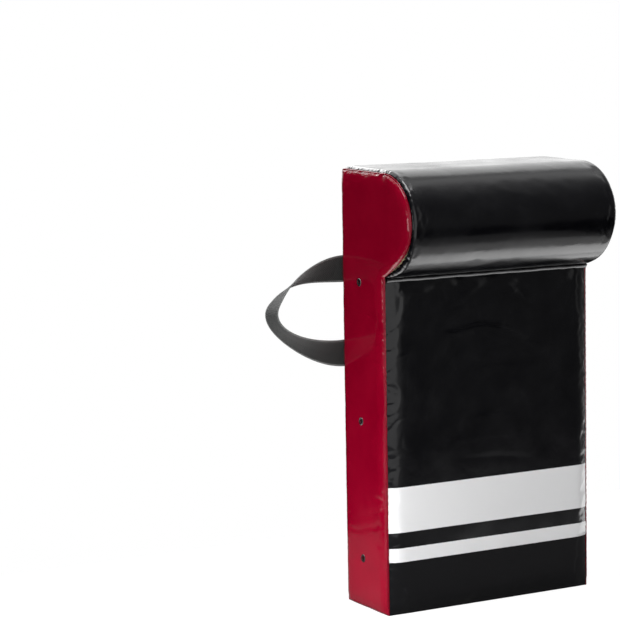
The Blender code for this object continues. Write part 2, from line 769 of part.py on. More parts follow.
def make_slider():
    slider = slider_plate("zip_slider", 1, "zip_metal")
    add_boolean(slider, slider_plate("slider_inner_plate", -1, None), "UNION")
    overlap = SLIDER_PLATE / 2
    neck = box_object(
        "slider_neck",
        (-SLIDER_NECK_WIDTH / 2, CHAIN_Y - PLATE_INNER - overlap,
         SLIDER_TOP - OVERRUN / 2 - SLIDER_NECK_LENGTH),
        (SLIDER_NECK_WIDTH / 2, CHAIN_Y + PLATE_INNER + overlap, SLIDER_TOP - OVERRUN / 2),
        None,
    )
    add_boolean(slider, neck, "UNION")
    bail_reach = BAIL_BORE_RADIUS + BAIL_WALL
    bail = box_object(
        "slider_bail",
        (-BAIL_WIDTH / 2, CHAIN_Y + PLATE_OUTER - overlap, PULL_AXIS_Z - bail_reach),
        (BAIL_WIDTH / 2, PULL_AXIS_Y + bail_reach, PULL_AXIS_Z + bail_reach),
        None,
    )
    rounding = bail.modifiers.new("rounding", "BEVEL")
    rounding.width = BAIL_WALL * BAIL_ROUND_SHARE
    rounding.segments = 2
    rounding.limit_method = "ANGLE"
    add_boolean(slider, bail, "UNION")
    bore = bmesh.new()
    bmesh.ops.create_cone(
        bore,
        cap_ends=True,
        segments=BORE_SIDES,
        radius1=BAIL_BORE_RADIUS,
        radius2=BAIL_BORE_RADIUS,
        depth=BAIL_WIDTH + 2 * OVERRUN,
        matrix=Matrix.Translation((0, PULL_AXIS_Y, PULL_AXIS_Z))
        @ Matrix.Rotation(math.pi / 2, 4, "Y"),
    )
    add_boolean(slider, object_from("slider_bail_bore", bore, None), "DIFFERENCE")


def make_pull_tab():
    """The tab is drawn round its own axis and hung on an empty at the bail."""
    hinge = bpy.data.objects.new("pull_tab_axis", None)
    hinge.location = (0, PULL_AXIS_Y, PULL_AXIS_Z)
    bpy.context.scene.collection.objects.link(hinge)
    half_bar = PULL_BAR / 2
    tab = box_object(
        "zip_pull_tab",
        (-PULL_WIDTH / 2, -PULL_THICKNESS / 2, half_bar - PULL_LENGTH),
        (PULL_WIDTH / 2, PULL_THICKNESS / 2, half_bar),
        "zip_metal",
    )
    tab.parent = hinge
    softened = tab.modifiers.new("softened", "BEVEL")
    softened.width = PULL_EDGE
    softened.segments = 1
    softened.limit_method = "ANGLE"
    window_half = BAIL_WIDTH / 2 + 2 * CLEARANCE
    bail_reach = BAIL_BORE_RADIUS + BAIL_WALL
    window_end = half_bar + CLEARANCE + math.hypot(bail_reach, bail_reach)
    window = box_object(
        "pull_window",
        (-window_half, -PULL_THICKNESS, -window_end),
        (window_half, PULL_THICKNESS, -half_bar),
        None,
    )
    window.parent = hinge
    add_boolean(tab, window, "DIFFERENCE")
    hole = bmesh.new()
    bmesh.ops.create_cone(
        hole,
        cap_ends=True,
        segments=BORE_SIDES,
        radius1=PULL_HOLE_RADIUS,
        radius2=PULL_HOLE_RADIUS,
        depth=2 * PULL_THICKNESS,
        matrix=Matrix.Translation((0, 0, half_bar - PULL_LENGTH + 2 * PULL_HOLE_RADIUS))
        @ Matrix.Rotation(math.pi / 2, 4, "X"),
    )
    cutter = object_from("pull_hole", hole, None)
    cutter.parent = hinge
    add_boolean(tab, cutter, "DIFFERENCE")


# Webbing handle

HANDLE_AXIS = Vector((-HALF_WIDTH - ROOT_OUTSET, BACK_Y + ROOT_RISE))


def handle_route():
    """Centre points of the loop in the plane of the back, from the top root down."""
    top = Vector((0, HANDLE_TOP_ROOT))
    low = Vector((0, HANDLE_LOW_ROOT))
    apex = Vector((-HANDLE_REACH, HANDLE_APEX_HEIGHT))
    out = Vector((-1, 0))
    rising = Vector((math.sin(HANDLE_APEX_LEAN), math.cos(HANDLE_APEX_LEAN)))
    shares = [step / HANDLE_STEPS for step in range(HANDLE_STEPS + 1)]
    upper = [
        bezier(top, top + out * HANDLE_TOP_PULL, apex + rising * HANDLE_TOP_APEX_PULL, apex, share)
        for share in shares
    ]
    lower = [
        bezier(apex, apex - rising * HANDLE_LOW_APEX_PULL, low + out * HANDLE_LOW_PULL, low, share)
        for share in shares
    ]
    return upper + lower[1:]


def make_handle():
    """A flat strap carried along the route, turning over once between its ends.

    Each end is rounded about the line that it swings on, close to its sewn part.
    """
    route = handle_route()
    travelled = [0.0]
    for start, end in zip(route, route[1:]):
        travelled.append(travelled[-1] + (end - start).length)
    last = len(route) - 1
    half = WEB_THICKNESS / 2
    builder = bmesh.new()
    rings = []

    def add_ring(centre, side, face):
        rings.append([
            builder.verts.new(centre + side + face),
            builder.verts.new(centre + side - face),
            builder.verts.new(centre - side - face),
            builder.verts.new(centre - side + face),
        ])

    def round_end(root_height, degrees, facing):
        turn = math.radians(degrees)
        add_ring(
            Vector((half * math.sin(turn), 0, root_height)),
            Vector((0, 0, WEB_WIDTH / 2)),
            Vector((0, facing * half * math.cos(turn), 0)),
        )

    for degrees in reversed(END_ROUND_DEGREES):
        round_end(HANDLE_TOP_ROOT, degrees, 1)
    for index, point in enumerate(route):
        along = (route[min(index + 1, last)] - route[max(index - 1, 0)]).normalized()
        if index in (0, last):
            along = Vector((-1, 0)) if index == 0 else Vector((1, 0))
        share = travelled[index] / travelled[-1]
        bias = HANDLE_TWIST_BIAS_SHARE * math.sin(2 * math.pi * share) / (2 * math.pi)
        turn = math.pi * (share + bias)
        outward = Vector((along.y, 0, -along.x))
        width = outward * math.cos(turn) + Vector((0, -1, 0)) * math.sin(turn)
        thickness = Vector((along.x, 0, along.y)).cross(width)
        centre = Vector((point.x, 0, point.y))
        add_ring(centre, width * WEB_WIDTH / 2, thickness * half)
    for degrees in END_ROUND_DEGREES:
        round_end(HANDLE_LOW_ROOT, degrees, -1)
    for ring in (rings[0], rings[-1]):
        builder.faces.new(ring)
    for before, after in zip(rings, rings[1:]):
        for corner in range(4):
            beside = (corner + 1) % 4
            builder.faces.new([before[corner], before[beside], after[beside], after[corner]])
    handle = object_from("handle_webbing", builder, "webbing")
    handle.location = (HANDLE_AXIS.x, HANDLE_AXIS.y, 0)


def make_sewn_ends():
    """Both ends of the strap lie on the back panel, from beyond its edge inwards."""
    gap = WEB_THICKNESS / 2 + CLEARANCE
    stations = [share * BACK_REACH for share in SEWN_RISE_SHARES] + [SEWN_LENGTH]
    middle = [(distance, puff(distance, BACK_REACH, BACK_CROWN) + gap) for distance in stations]
    start = (-ROOT_OUTSET + WEB_THICKNESS / 2 + CLEARANCE, ROOT_RISE)
    middle = [start] + middle
    half = WEB_THICKNESS / 2
    under = [(distance, height - half) for distance, height in middle]
    over = [(distance, height + half) for distance, height in middle]
    over[0] = (start[0], start[1] - half * SEWN_TIP_SHARE)
    for name, root in (
        ("handle_sewn_end_top", HANDLE_TOP_ROOT),
        ("handle_sewn_end_low", HANDLE_LOW_ROOT),
    ):
        builder = bmesh.new()
        low, high = [
            [
                builder.verts.new((distance - HALF_WIDTH, BACK_Y + rise, height))
                for distance, rise in under + over[::-1]
            ]
            for height in (root - WEB_WIDTH / 2, root + WEB_WIDTH / 2)
        ]
        builder.faces.new(low)
        builder.faces.new(high)
        for index in range(len(low)):
            after = (index + 1) % len(low)
            builder.faces.new([low[index], low[after], high[after], high[index]])
        object_from(name, builder, "webbing")


clear_scene()
make_foam()
make_side_panel("left_side_panel", -1)
make_side_panel("right_side_panel", 1)
make_front_panel()
make_head_panel()
make_back_panel()
make_base_panel()
make_eyelets("left", -1)
make_eyelets("right", 1)
make_stringer("zip_stringer_left", -1, 0)
make_stringer("zip_stringer_right", 1, 0.5)
make_stops()
make_slider()
make_pull_tab()
make_handle()
make_sewn_ends()
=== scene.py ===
# %% [markdown]
# # Dressing a tackle wedge
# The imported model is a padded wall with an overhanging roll, in a sewn cover of glossy
# coated sheet. It stands at its real size, in metres. This script keeps it as the frame
# and puts finer pieces and procedural materials over it.

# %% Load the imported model
import math

import bpy
import numpy as np
from mathutils import Matrix, Vector, noise


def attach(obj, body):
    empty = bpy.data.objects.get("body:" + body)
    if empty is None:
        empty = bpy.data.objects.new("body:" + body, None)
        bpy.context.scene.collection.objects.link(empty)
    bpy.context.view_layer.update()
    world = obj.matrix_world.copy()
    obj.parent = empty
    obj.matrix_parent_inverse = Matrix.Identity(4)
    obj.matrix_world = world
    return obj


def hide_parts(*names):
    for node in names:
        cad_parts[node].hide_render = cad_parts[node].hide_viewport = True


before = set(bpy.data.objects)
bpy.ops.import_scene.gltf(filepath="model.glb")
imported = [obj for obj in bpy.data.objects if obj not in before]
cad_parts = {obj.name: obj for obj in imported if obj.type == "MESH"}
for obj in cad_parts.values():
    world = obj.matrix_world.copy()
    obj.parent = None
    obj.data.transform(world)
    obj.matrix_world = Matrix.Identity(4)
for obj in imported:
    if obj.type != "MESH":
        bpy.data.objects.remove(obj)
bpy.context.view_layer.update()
MM = 0.001

# %% [markdown]
# ## Camera
# The camera looks slightly down on the wedge from its front left. A long lens about four
# metres away keeps the vertical edges close to parallel, as in a product picture. The
# angles are turned into a rotation matrix here, so that each of them can be read.

# %% Camera
AZIMUTH, ELEVATION, ROLL = (math.radians(angle) for angle in (-28.49, 6.94, -1.045))
CAMERA_DISTANCE = 4.0764
AIM = Vector((-0.3332, 0, 0.5663))
FOCAL_LENGTH, SENSOR_WIDTH = 131.04, 36  # millimetres, as on a real lens

back = Vector((
    math.sin(AZIMUTH) * math.cos(ELEVATION),
    -math.cos(AZIMUTH) * math.cos(ELEVATION),
    math.sin(ELEVATION),
))
right = Vector((math.cos(AZIMUTH), math.sin(AZIMUTH), 0))
up = back.cross(right)
turned_right = right * math.cos(ROLL) + up * math.sin(ROLL)
turned_up = up * math.cos(ROLL) - right * math.sin(ROLL)

lens = bpy.data.cameras.new("camera")
lens.sensor_width = SENSOR_WIDTH
lens.lens = FOCAL_LENGTH
camera = bpy.data.objects.new("camera", lens)
camera.matrix_world = Matrix.Translation(AIM + back * CAMERA_DISTANCE) @ Matrix(
    (turned_right, turned_up, back)
).transposed().to_4x4()
bpy.context.scene.collection.objects.link(camera)
bpy.context.scene.camera = camera
bpy.context.scene.view_settings.view_transform = "Standard"
print("camera at", [round(value, 3) for value in camera.matrix_world.translation])

# %% [markdown]
# ## Three small helpers for materials
# Colours are picked as sRGB hex values, as a screen shows them, but a shader works with
# linear light, so one function turns one into the other. A second one adds any node with
# its settings and its links, which keeps each material short enough to read. A third one
# starts a material from the values that are the same all over it.

# %% Colour and node helpers


def linear(hex_colour):
    """An sRGB hex value as linear red, green, blue and alpha."""
    shades = [int(hex_colour[start:start + 2], 16) / 255 for start in (1, 3, 5)]
    return (*[
        shade / 12.92 if shade <= 0.04045 else ((shade + 0.055) / 1.055) ** 2.4
        for shade in shades
    ], 1.0)


def add_node(tree, kind, settings=None, links=None):
    """Add a node: settings go to its sockets or its own options, links join sockets."""
    node = tree.nodes.new(kind)
    for name, value in (settings or {}).items():
        if isinstance(name, int) or name in node.inputs:
            node.inputs[name].default_value = value
        else:
            setattr(node, name, value)
    for name, source in (links or {}).items():
        tree.links.new(source, node.inputs[name])
    return node


def start_material(name, sockets):
    """A material whose even values sit directly on the shader's own sockets."""
    made = bpy.data.materials.new(name)
    made.use_nodes = True
    tree = made.node_tree
    shader = tree.nodes["Principled BSDF"]
    for socket, value in sockets.items():
        shader.inputs[socket].default_value = value
    return made, tree, shader


print("middle grey is", [round(value, 3) for value in linear("#808080")])

# %% [markdown]
# ## Floor, backdrop and light
# The wedge stands on a plain pale floor in soft light. Glossy sheet shows what is round
# it, so the studio matters as much as the lamps. Black sheet is black where it faces the
# dark front of the studio, and pale where it faces the bright paper behind the wedge or
# the lit floor beside it. The floor and the room are white for the camera alone.

# %% Floor
FLOOR_SIZE, FLOOR_MIDDLE = 1.72, (0, -0.25, 0)
FLOOR_GLOW = 0.86  # lifts the floor to white, for the camera alone


def deselect_all():
    bpy.ops.object.select_all(action="DESELECT")


deselect_all()
bpy.ops.mesh.primitive_plane_add(size=FLOOR_SIZE, location=FLOOR_MIDDLE)
bpy.ops.object.transform_apply(location=True)
floor = bpy.context.object
floor.name = "floor"
floor_paint, tree, shader = start_material("matt_white_floor_paint", {
    "Base Color": linear("#909090"), "Roughness": 0.9, "Specular IOR Level": 0.0,
})
path = add_node(tree, "ShaderNodeLightPath")
glow = add_node(tree, "ShaderNodeMath", {"operation": "MULTIPLY", 1: FLOOR_GLOW},
                {0: path.outputs["Is Camera Ray"]})
shader.inputs["Emission Color"].default_value = (1, 1, 1, 1)
tree.links.new(glow.outputs[0], shader.inputs["Emission Strength"])
floor.data.materials.append(floor_paint)
print("floor is", FLOOR_SIZE, "m wide")

# %% [markdown]
# The room is a world, read by direction. Behind the wedge stands the bright paper, above
# it hangs a long overhead light that fades towards the front, and a narrow dim gap parts
# the two. The front of the studio is dark, with one faint pale corner.

# %% Room
ROOM_LEVEL = 0.28  # what matt surfaces get from the room
ROOM_BANDS = (  # how far a direction points to the back, and how bright the room is there
    (-1.0, 0.1), (-0.6, 0.14), (-0.1, 0.5), (0.16, 1.2), (0.24, 1.2), (0.32, 0.65),
    (0.39, 0.65), (0.48, 1.9), (0.85, 1.15),
)
BRIGHTEST = 2.0  # the curve runs from 0 to 1, so each level is a share of this one

room = bpy.data.worlds.new("studio_room")
bpy.context.scene.world = room
room.use_nodes = True
tree = room.node_tree
tree.nodes.clear()
direction = add_node(tree, "ShaderNodeTexCoord")
parts = add_node(tree, "ShaderNodeSeparateXYZ", links={0: direction.outputs["Generated"]})
to_back = add_node(tree, "ShaderNodeMapRange", {"From Min": -1.0, "From Max": 1.0},
                   {"Value": parts.outputs["Y"]})
bands = add_node(tree, "ShaderNodeFloatCurve", links={"Value": to_back.outputs[0]})
curve = bands.mapping.curves[0]
bands.mapping.use_clip = False
curve.points[0].location = (0, ROOM_BANDS[0][1] / BRIGHTEST)
curve.points[1].location = (1, ROOM_BANDS[-1][1] / BRIGHTEST)
for to_the_back, level in ROOM_BANDS[1:-1]:
    curve.points.new((to_the_back + 1) / 2, level / BRIGHTEST)
for point in curve.points:
    point.handle_type = "AUTO_CLAMPED"
bands.mapping.update()
# The paper leans: it reaches further to the left where it is high.
leaning = add_node(tree, "ShaderNodeMath", {"operation": "MULTIPLY_ADD", 1: 0.65},
                   {0: parts.outputs["Z"], 2: parts.outputs["X"]})
paper_side = add_node(tree, "ShaderNodeMapRange", {
    "interpolation_type": "SMOOTHSTEP", "From Min": -0.22, "From Max": 0.0,
    "To Max": BRIGHTEST,
}, {"Value": leaning.outputs[0]})
# Below the level of the ground there is no room, and the ground slopes a little.
rising = add_node(tree, "ShaderNodeMath", {"operation": "MULTIPLY_ADD", 1: 0.3},
                  {0: parts.outputs["X"], 2: parts.outputs["Z"]})
above_ground = add_node(tree, "ShaderNodeMapRange", {
    "interpolation_type": "SMOOTHSTEP", "From Min": -0.12, "From Max": 0.02,
}, {"Value": rising.outputs[0]})
room_light = add_node(tree, "ShaderNodeMath", {"operation": "MULTIPLY"},
                      {0: bands.outputs[0], 1: paper_side.outputs[0]})
paper = add_node(tree, "ShaderNodeMath", {"operation": "MULTIPLY"},
                 {0: room_light.outputs[0], 1: above_ground.outputs[0]})
# The faint pale corner shows as soft streaks where the flat panel waves.
pale_side = add_node(tree, "ShaderNodeMapRange", {
    "interpolation_type": "SMOOTHSTEP", "From Min": 0.47, "From Max": 0.38, "To Max": 0.4,
}, {"Value": parts.outputs["X"]})
front_side = add_node(tree, "ShaderNodeMapRange", {
    "interpolation_type": "SMOOTHSTEP", "From Min": -0.6, "From Max": -0.8,
}, {"Value": parts.outputs["Y"]})
corner = add_node(tree, "ShaderNodeMath", {"operation": "MULTIPLY_ADD"},
                  {0: pale_side.outputs[0], 1: front_side.outputs[0], 2: paper.outputs[0]})
path = add_node(tree, "ShaderNodeLightPath")
mirrored = add_node(tree, "ShaderNodeMath", {"operation": "MAXIMUM"}, {
    0: path.outputs["Is Glossy Ray"], 1: path.outputs["Is Transmission Ray"],
})
seen_wall = add_node(tree, "ShaderNodeMix", {"data_type": "FLOAT", 2: ROOM_LEVEL},
                     {0: mirrored.outputs[0], 3: corner.outputs[0]})
strength = add_node(tree, "ShaderNodeMix", {"data_type": "FLOAT", 3: 1.0},
                    {0: path.outputs["Is Camera Ray"], 2: seen_wall.outputs[0]})
glow = add_node(tree, "ShaderNodeBackground", {"Color": (1, 1, 1, 1)},
                {"Strength": strength.outputs[0]})
add_node(tree, "ShaderNodeOutputWorld", links={"Surface": glow.outputs[0]})
print("room has", len(curve.points), "levels from front to back")

# %% [markdown]
# Two large softboxes light the wedge, one above it and one at the front left. The foot of
# the left side is far from both, so a card and a thin strip stand low in front of it.
# These two give light alone and show in no reflection.

# %% Lamps


def soft_lamp(name, place, aim, size, watts):
    """A square lamp of a size in metres that faces the place it aims at."""
    lamp = bpy.data.lights.new(name, "AREA")
    lamp.size = size
    lamp.energy = watts
    made = bpy.data.objects.new(name, lamp)
    made.location = place
    made.rotation_euler = (Vector(place) - Vector(aim)).to_track_quat("Z", "Y").to_euler()
    made.visible_camera = False
    bpy.context.scene.collection.objects.link(made)
    return made


soft_lamp("softbox_above", (-0.2, -0.3, 2.4), (0, -0.2, 0), 1.2, 42)
soft_lamp("softbox_front_left", (-1.4, -2.9, 0.5), (-0.1, 0, 0.4), 4.6, 52)
foot_card = soft_lamp("card_at_the_foot", (-0.85, -0.3, 0.05), (-0.22, 0, 0.06), 0.35, 7.5)
foot_strip = soft_lamp("strip_at_the_foot", (-0.36, 0, 0.06), (-0.22, 0, 0.05), 0.2, 0.14)
foot_strip.data.shape, foot_strip.data.size_y = "RECTANGLE", 0.03
for lamp in (foot_card, foot_strip):
    lamp.visible_glossy = False

# %% [markdown]
# Six lamps are there for their reflections alone. A tall strip at the left draws the
# bright line along the edge of the red side, and one behind lights the rounded seam of
# the top. The others lie by the floor and shine up. The underside of the roll mirrors the
# bright one nearby, a dimmer one in front of it and a short one beside the wedge. These
# three lean forward, so the wedge's foot sees only their dark backs. The lower edge of the
# red head mirrors the left one.

# %% Lamps for reflections
FORWARD = (0, -0.342, 0.94)

for name, place, lean, turn, width, length, watts in (
    ("strip_at_the_left", (-2.05, -0.4, 0.72), (1.85, 0.4, 0), 0, 0.35, 0.55, 6),
    ("lamp_behind", (-0.05, 2.0, 1.8), (0, -1.9, -1.0), 0, 1.4, 0.6, 15),
    ("floor_lamp_near", (0.5, -0.2, 0.06), FORWARD, -6, 1.1, 0.33, 4.4),
    ("floor_lamp_far", (0.5, -0.49, 0.06), FORWARD, -6, 1.1, 0.28, 0.8),
    ("floor_lamp_right", (0.66, 0.09, 0.1), FORWARD, 0, 0.6, 0.22, 1.0),
    ("floor_lamp_left", (-0.5, 0.2, 0.08), (-0.1, 0.3, 0.95), 0, 0.4, 0.5, 2.5),
):
    aim = Vector(place) + Vector(lean)
    mirrored_lamp = soft_lamp(name, place, aim, width, watts)
    mirrored_lamp.data.shape, mirrored_lamp.data.size_y = "RECTANGLE", length
    mirrored_lamp.rotation_euler.rotate_axis("Z", math.radians(turn))
    mirrored_lamp.visible_diffuse = False
print("room and lamps ready")

# %% [markdown]
# ## Coated sheet
# The cover is PVC tarpaulin: a polyester fabric between two layers of soft vinyl, pressed
# smooth and lacquered. To the eye it is a deep even colour under a wet-looking gloss that
# breaks up into small dimples and slow waves. A bump from two sizes of noise gives the
# waves, and a third one changes the roughness where hands and grass have rubbed it.

# %% Coated sheet material
RED_VINYL, BLACK_VINYL = "#7f001d", "#050508"


def coated_sheet(name, hex_colour, roughness, specular, wave=0.5):
    """A sheet's material, with the tree, shader and colour that a print builds on."""
    made, tree, shader = start_material(name, {
        "IOR": 1.5, "Metallic": 0.0, "Specular IOR Level": specular,
    })
    place = add_node(tree, "ShaderNodeTexCoord").outputs["Object"]
    slow_waves = add_node(tree, "ShaderNodeTexNoise", {
        "Scale": 1 / (45 * MM), "Detail": 2.0, "Roughness": 0.45, "Distortion": 0.6,
    }, {"Vector": place})
    dimples = add_node(tree, "ShaderNodeTexNoise", {
        "Scale": 1 / (7 * MM), "Detail": 2.0, "Roughness": 0.5,
    }, {"Vector": place})
    rubbed = add_node(tree, "ShaderNodeTexNoise", {
        "Scale": 1 / (70 * MM), "Detail": 5.0, "Roughness": 0.62,
    }, {"Vector": place})
    gloss = add_node(tree, "ShaderNodeMapRange", {
        "From Min": 0.35, "From Max": 0.75, "To Min": roughness, "To Max": roughness + 0.13,
    }, {"Value": rubbed.outputs["Fac"]})
    tree.links.new(gloss.outputs[0], shader.inputs["Roughness"])
    tone = add_node(tree, "ShaderNodeMapRange", {
        "From Min": 0.3, "From Max": 0.7, "To Min": 0.9, "To Max": 1.08,
    }, {"Value": rubbed.outputs["Fac"]})
    colour = add_node(tree, "ShaderNodeMix", {
        "data_type": "RGBA", "blend_type": "MULTIPLY", 0: 1.0, 6: linear(hex_colour),
    }, {7: tone.outputs[0]})
    tree.links.new(colour.outputs[2], shader.inputs["Base Color"])
    fine = add_node(tree, "ShaderNodeBump", {"Strength": 0.12, "Distance": 0.35 * MM},
                    {"Height": dimples.outputs["Fac"]})
    both = add_node(tree, "ShaderNodeBump", {"Strength": wave, "Distance": 1.6 * MM},
                    {"Height": slow_waves.outputs["Fac"], "Normal": fine.outputs[0]})
    tree.links.new(both.outputs[0], shader.inputs["Normal"])
    return made, tree, shader, colour


red_sheet = coated_sheet("red_pvc_tarpaulin", RED_VINYL, 0.11, 0.3, wave=0.12)[0]
black_sheet = coated_sheet("black_pvc_tarpaulin", BLACK_VINYL, 0.16, 0.45, wave=0.3)[0]
print("sheet materials", red_sheet.name, black_sheet.name)

# %% [markdown]
# ## Printed hoops
# The lower front carries a plain print: one wide and one narrow white hoop, from seam to
# seam. Screen ink lies on the vinyl as a thin film, and its edge wanders by a fraction of
# a millimetre. The height on the panel picks the ink, so the print follows every fold.

# %% Printed sheet material
HOOPS = ((196 * MM, 84 * MM), (112 * MM, 26 * MM))  # each hoop's middle and its width
INK_EDGE = 0.3 * MM

printed_sheet, tree, shader, colour = coated_sheet(
    "printed_pvc_tarpaulin", BLACK_VINYL, 0.15, 0.4)
place = add_node(tree, "ShaderNodeTexCoord").outputs["Object"]
height = add_node(tree, "ShaderNodeSeparateXYZ", links={0: place}).outputs["Z"]
edge_noise = add_node(tree, "ShaderNodeTexNoise", {"Scale": 1 / (3 * MM), "Detail": 2.0},
                      {"Vector": place})
ragged = add_node(tree, "ShaderNodeMath", {
    "operation": "MULTIPLY_ADD", 1: 0.8 * MM, 2: -0.4 * MM,
}, {0: edge_noise.outputs["Fac"]})
edge = add_node(tree, "ShaderNodeMath", {"operation": "ADD"},
                {0: height, 1: ragged.outputs[0]})
inks = []
for middle, width in HOOPS:
    off_middle = add_node(tree, "ShaderNodeMath", {"operation": "SUBTRACT", 1: middle},
                          {0: edge.outputs[0]})
    away = add_node(tree, "ShaderNodeMath", {"operation": "ABSOLUTE"},
                    {0: off_middle.outputs[0]})
    inks.append(add_node(tree, "ShaderNodeMapRange", {
        "From Min": width / 2 + INK_EDGE, "From Max": width / 2 - INK_EDGE,
    }, {"Value": away.outputs[0]}))
ink = add_node(tree, "ShaderNodeMath", {"operation": "MAXIMUM"},
               {0: inks[0].outputs[0], 1: inks[1].outputs[0]})
printed = add_node(tree, "ShaderNodeMix", {"data_type": "RGBA", 7: linear("#f4f4f5")},
                   {0: ink.outputs[0], 6: colour.outputs[2]})
tree.links.new(printed.outputs[2], shader.inputs["Base Color"])
print("hoops at", [round(middle * 1000) for middle, width in HOOPS], "mm")

# %% [markdown]
# ## The sewn outline
# Seen from its side, the wedge is a P: a straight back, a slab, and a head that swells
# forward of it. Two smooth curves draw the head, one from the crease to the nose and one
# from the nose to the flat top. Every panel takes its seams from this one outline, so
# they meet.

# %% Outline of the side
WIDTH, DEPTH = 440 * MM, 148 * MM
CREASE_HEIGHT, HEAD_HEIGHT, HEAD_DEPTH = 624 * MM, 188 * MM, 244 * MM
BACK_Y, FRONT_Y = DEPTH / 2, -DEPTH / 2
TOP = CREASE_HEIGHT + HEAD_HEIGHT
CREASE = Vector((FRONT_Y, CREASE_HEIGHT))
NOSE = Vector((BACK_Y - HEAD_DEPTH, CREASE_HEIGHT + HEAD_HEIGHT * 0.521))
SHOULDER = Vector((BACK_Y - HEAD_DEPTH * 0.615, TOP - 3 * MM))
CHIN_RISE = math.radians(26)  # how steeply the roll leaves the crease
CHIN_PULLS, BROW_PULLS = (0.68, 0.459), (0.552, 0.553)  # as shares of each curve's reach


def curve_point(points, share):
    """A point at a share of the way along a curve with two ends and two pulls."""
    start, start_pull, end_pull, end = points
    rest = 1 - share
    return (start * rest ** 3 + start_pull * 3 * rest ** 2 * share
            + end_pull * 3 * rest * share ** 2 + end * share ** 3)


def head_outline(steps=160):
    """Points (y, z) from the crease, round the nose, to the back's top edge."""
    out = Vector((-math.cos(CHIN_RISE), math.sin(CHIN_RISE)))
    chin = (CREASE, CREASE + out * (CREASE.x - NOSE.x) * CHIN_PULLS[0],
            NOSE - Vector((0, (NOSE.y - CREASE.y) * CHIN_PULLS[1])), NOSE)
    brow = (NOSE, NOSE + Vector((0, (SHOULDER.y - NOSE.y) * BROW_PULLS[0])),
            SHOULDER - Vector(((SHOULDER.x - NOSE.x) * BROW_PULLS[1], 0)), SHOULDER)
    points = [
        curve_point(curve, step / steps) for curve in (chin, brow) for step in range(steps)
    ]
    top_edge = Vector((BACK_Y, TOP))
    return points + [SHOULDER.lerp(top_edge, step / steps) for step in range(steps + 1)]


def evenly(points, count):
    """The same line with its points at even distances along it, and its length."""
    travelled = [0.0]
    for start, end in zip(points, points[1:]):
        travelled.append(travelled[-1] + (end - start).length)
    made, index = [], 0
    for step in range(count + 1):
        distance = travelled[-1] * step / count
        while index < len(points) - 2 and travelled[index + 1] < distance:
            index += 1
        share = (distance - travelled[index]) / (travelled[index + 1] - travelled[index])
        made.append(points[index].lerp(points[index + 1], share))
    return made, travelled[-1]


head_length = evenly(head_outline(), 80)[1]
print("head panel is", round(head_length * 1000), "mm from crease to back edge")

# %% [markdown]
# ## How a padded panel is made
# A real panel is a flat sheet sewn to its neighbours along four seams, with foam pressing
# from behind. Three things follow. It crowns quickly away from each seam. It has more
# sheet than the taut thread line has, so short puckers run away from the seams. And its
# middle waves slowly. A grid is laid on the seam surface, then pushed out along its
# normals by these three, with the distance from each seam and the place along it.

# %% Lay a grid and measure it against its seams
SEAM_STEP = 1.5 * MM
BATCH = 2000  # points measured at a time, which keeps the arrays small


def lay_grid(name, rows, facing):
    """A grid primitive with one vertex for each point, its faces turned to one side."""
    deselect_all()
    across, along = len(rows[0]) - 1, len(rows) - 1
    bpy.ops.mesh.primitive_grid_add(x_subdivisions=across, y_subdivisions=along, size=1)
    piece = bpy.context.object
    piece.name = name
    for vertex in piece.data.vertices:
        column = round((vertex.co.x + 0.5) * across)
        row = round((vertex.co.y + 0.5) * along)
        vertex.co = rows[row][column]
    piece.data.update()
    middle = piece.data.polygons[len(piece.data.polygons) // 2]
    if middle.normal.dot(Vector(facing)) < 0:
        piece.data.flip_normals()
    piece.data.shade_smooth()
    return piece


def seam_lines(rows):
    """The four seams of a grid of points, as dense lines of numbers."""
    edges = [rows[0], rows[-1], [row[0] for row in rows], [row[-1] for row in rows]]
    lines = []
    for edge in edges:
        length = sum((end - start).length for start, end in zip(edge, edge[1:]))
        points, length = evenly(list(edge), max(int(length / SEAM_STEP), 4))
        lines.append((np.array(points), length))
    return lines


def seam_fields(points, lines):
    """Distance from each seam and the place along it, for an array of points."""
    fields = []
    for line, length in lines:
        distance = np.empty(len(points))
        nearest = np.empty(len(points), int)
        for start in range(0, len(points), BATCH):
            some = slice(start, start + BATCH)
            gaps = ((points[some, None, :] - line[None, :, :]) ** 2).sum(2)
            nearest[some] = gaps.argmin(1)
            distance[some] = np.sqrt(gaps.min(1))
        fields.append((distance, nearest / (len(line) - 1) * length))
    return fields


def mesh_points(piece):
    flat = np.empty(len(piece.data.vertices) * 3)
    piece.data.vertices.foreach_get("co", flat)
    return flat.reshape(-1, 3)


def mesh_normals(piece):
    flat = np.empty(len(piece.data.vertices) * 3)
    piece.data.vertex_normals.foreach_get("vector", flat)
    return flat.reshape(-1, 3)


def set_points(piece, points):
    piece.data.vertices.foreach_set("co", points.ravel())
    piece.data.update()


# %% Crown and puckers


def crown_share(distance, reach, soft):
    """How much of the crown is reached: a quarter round, or a softer slope."""
    left = 1 - np.clip(distance / reach, 0, 1)
    return 1 - left ** 3 if soft else np.sqrt(1 - left ** 2)


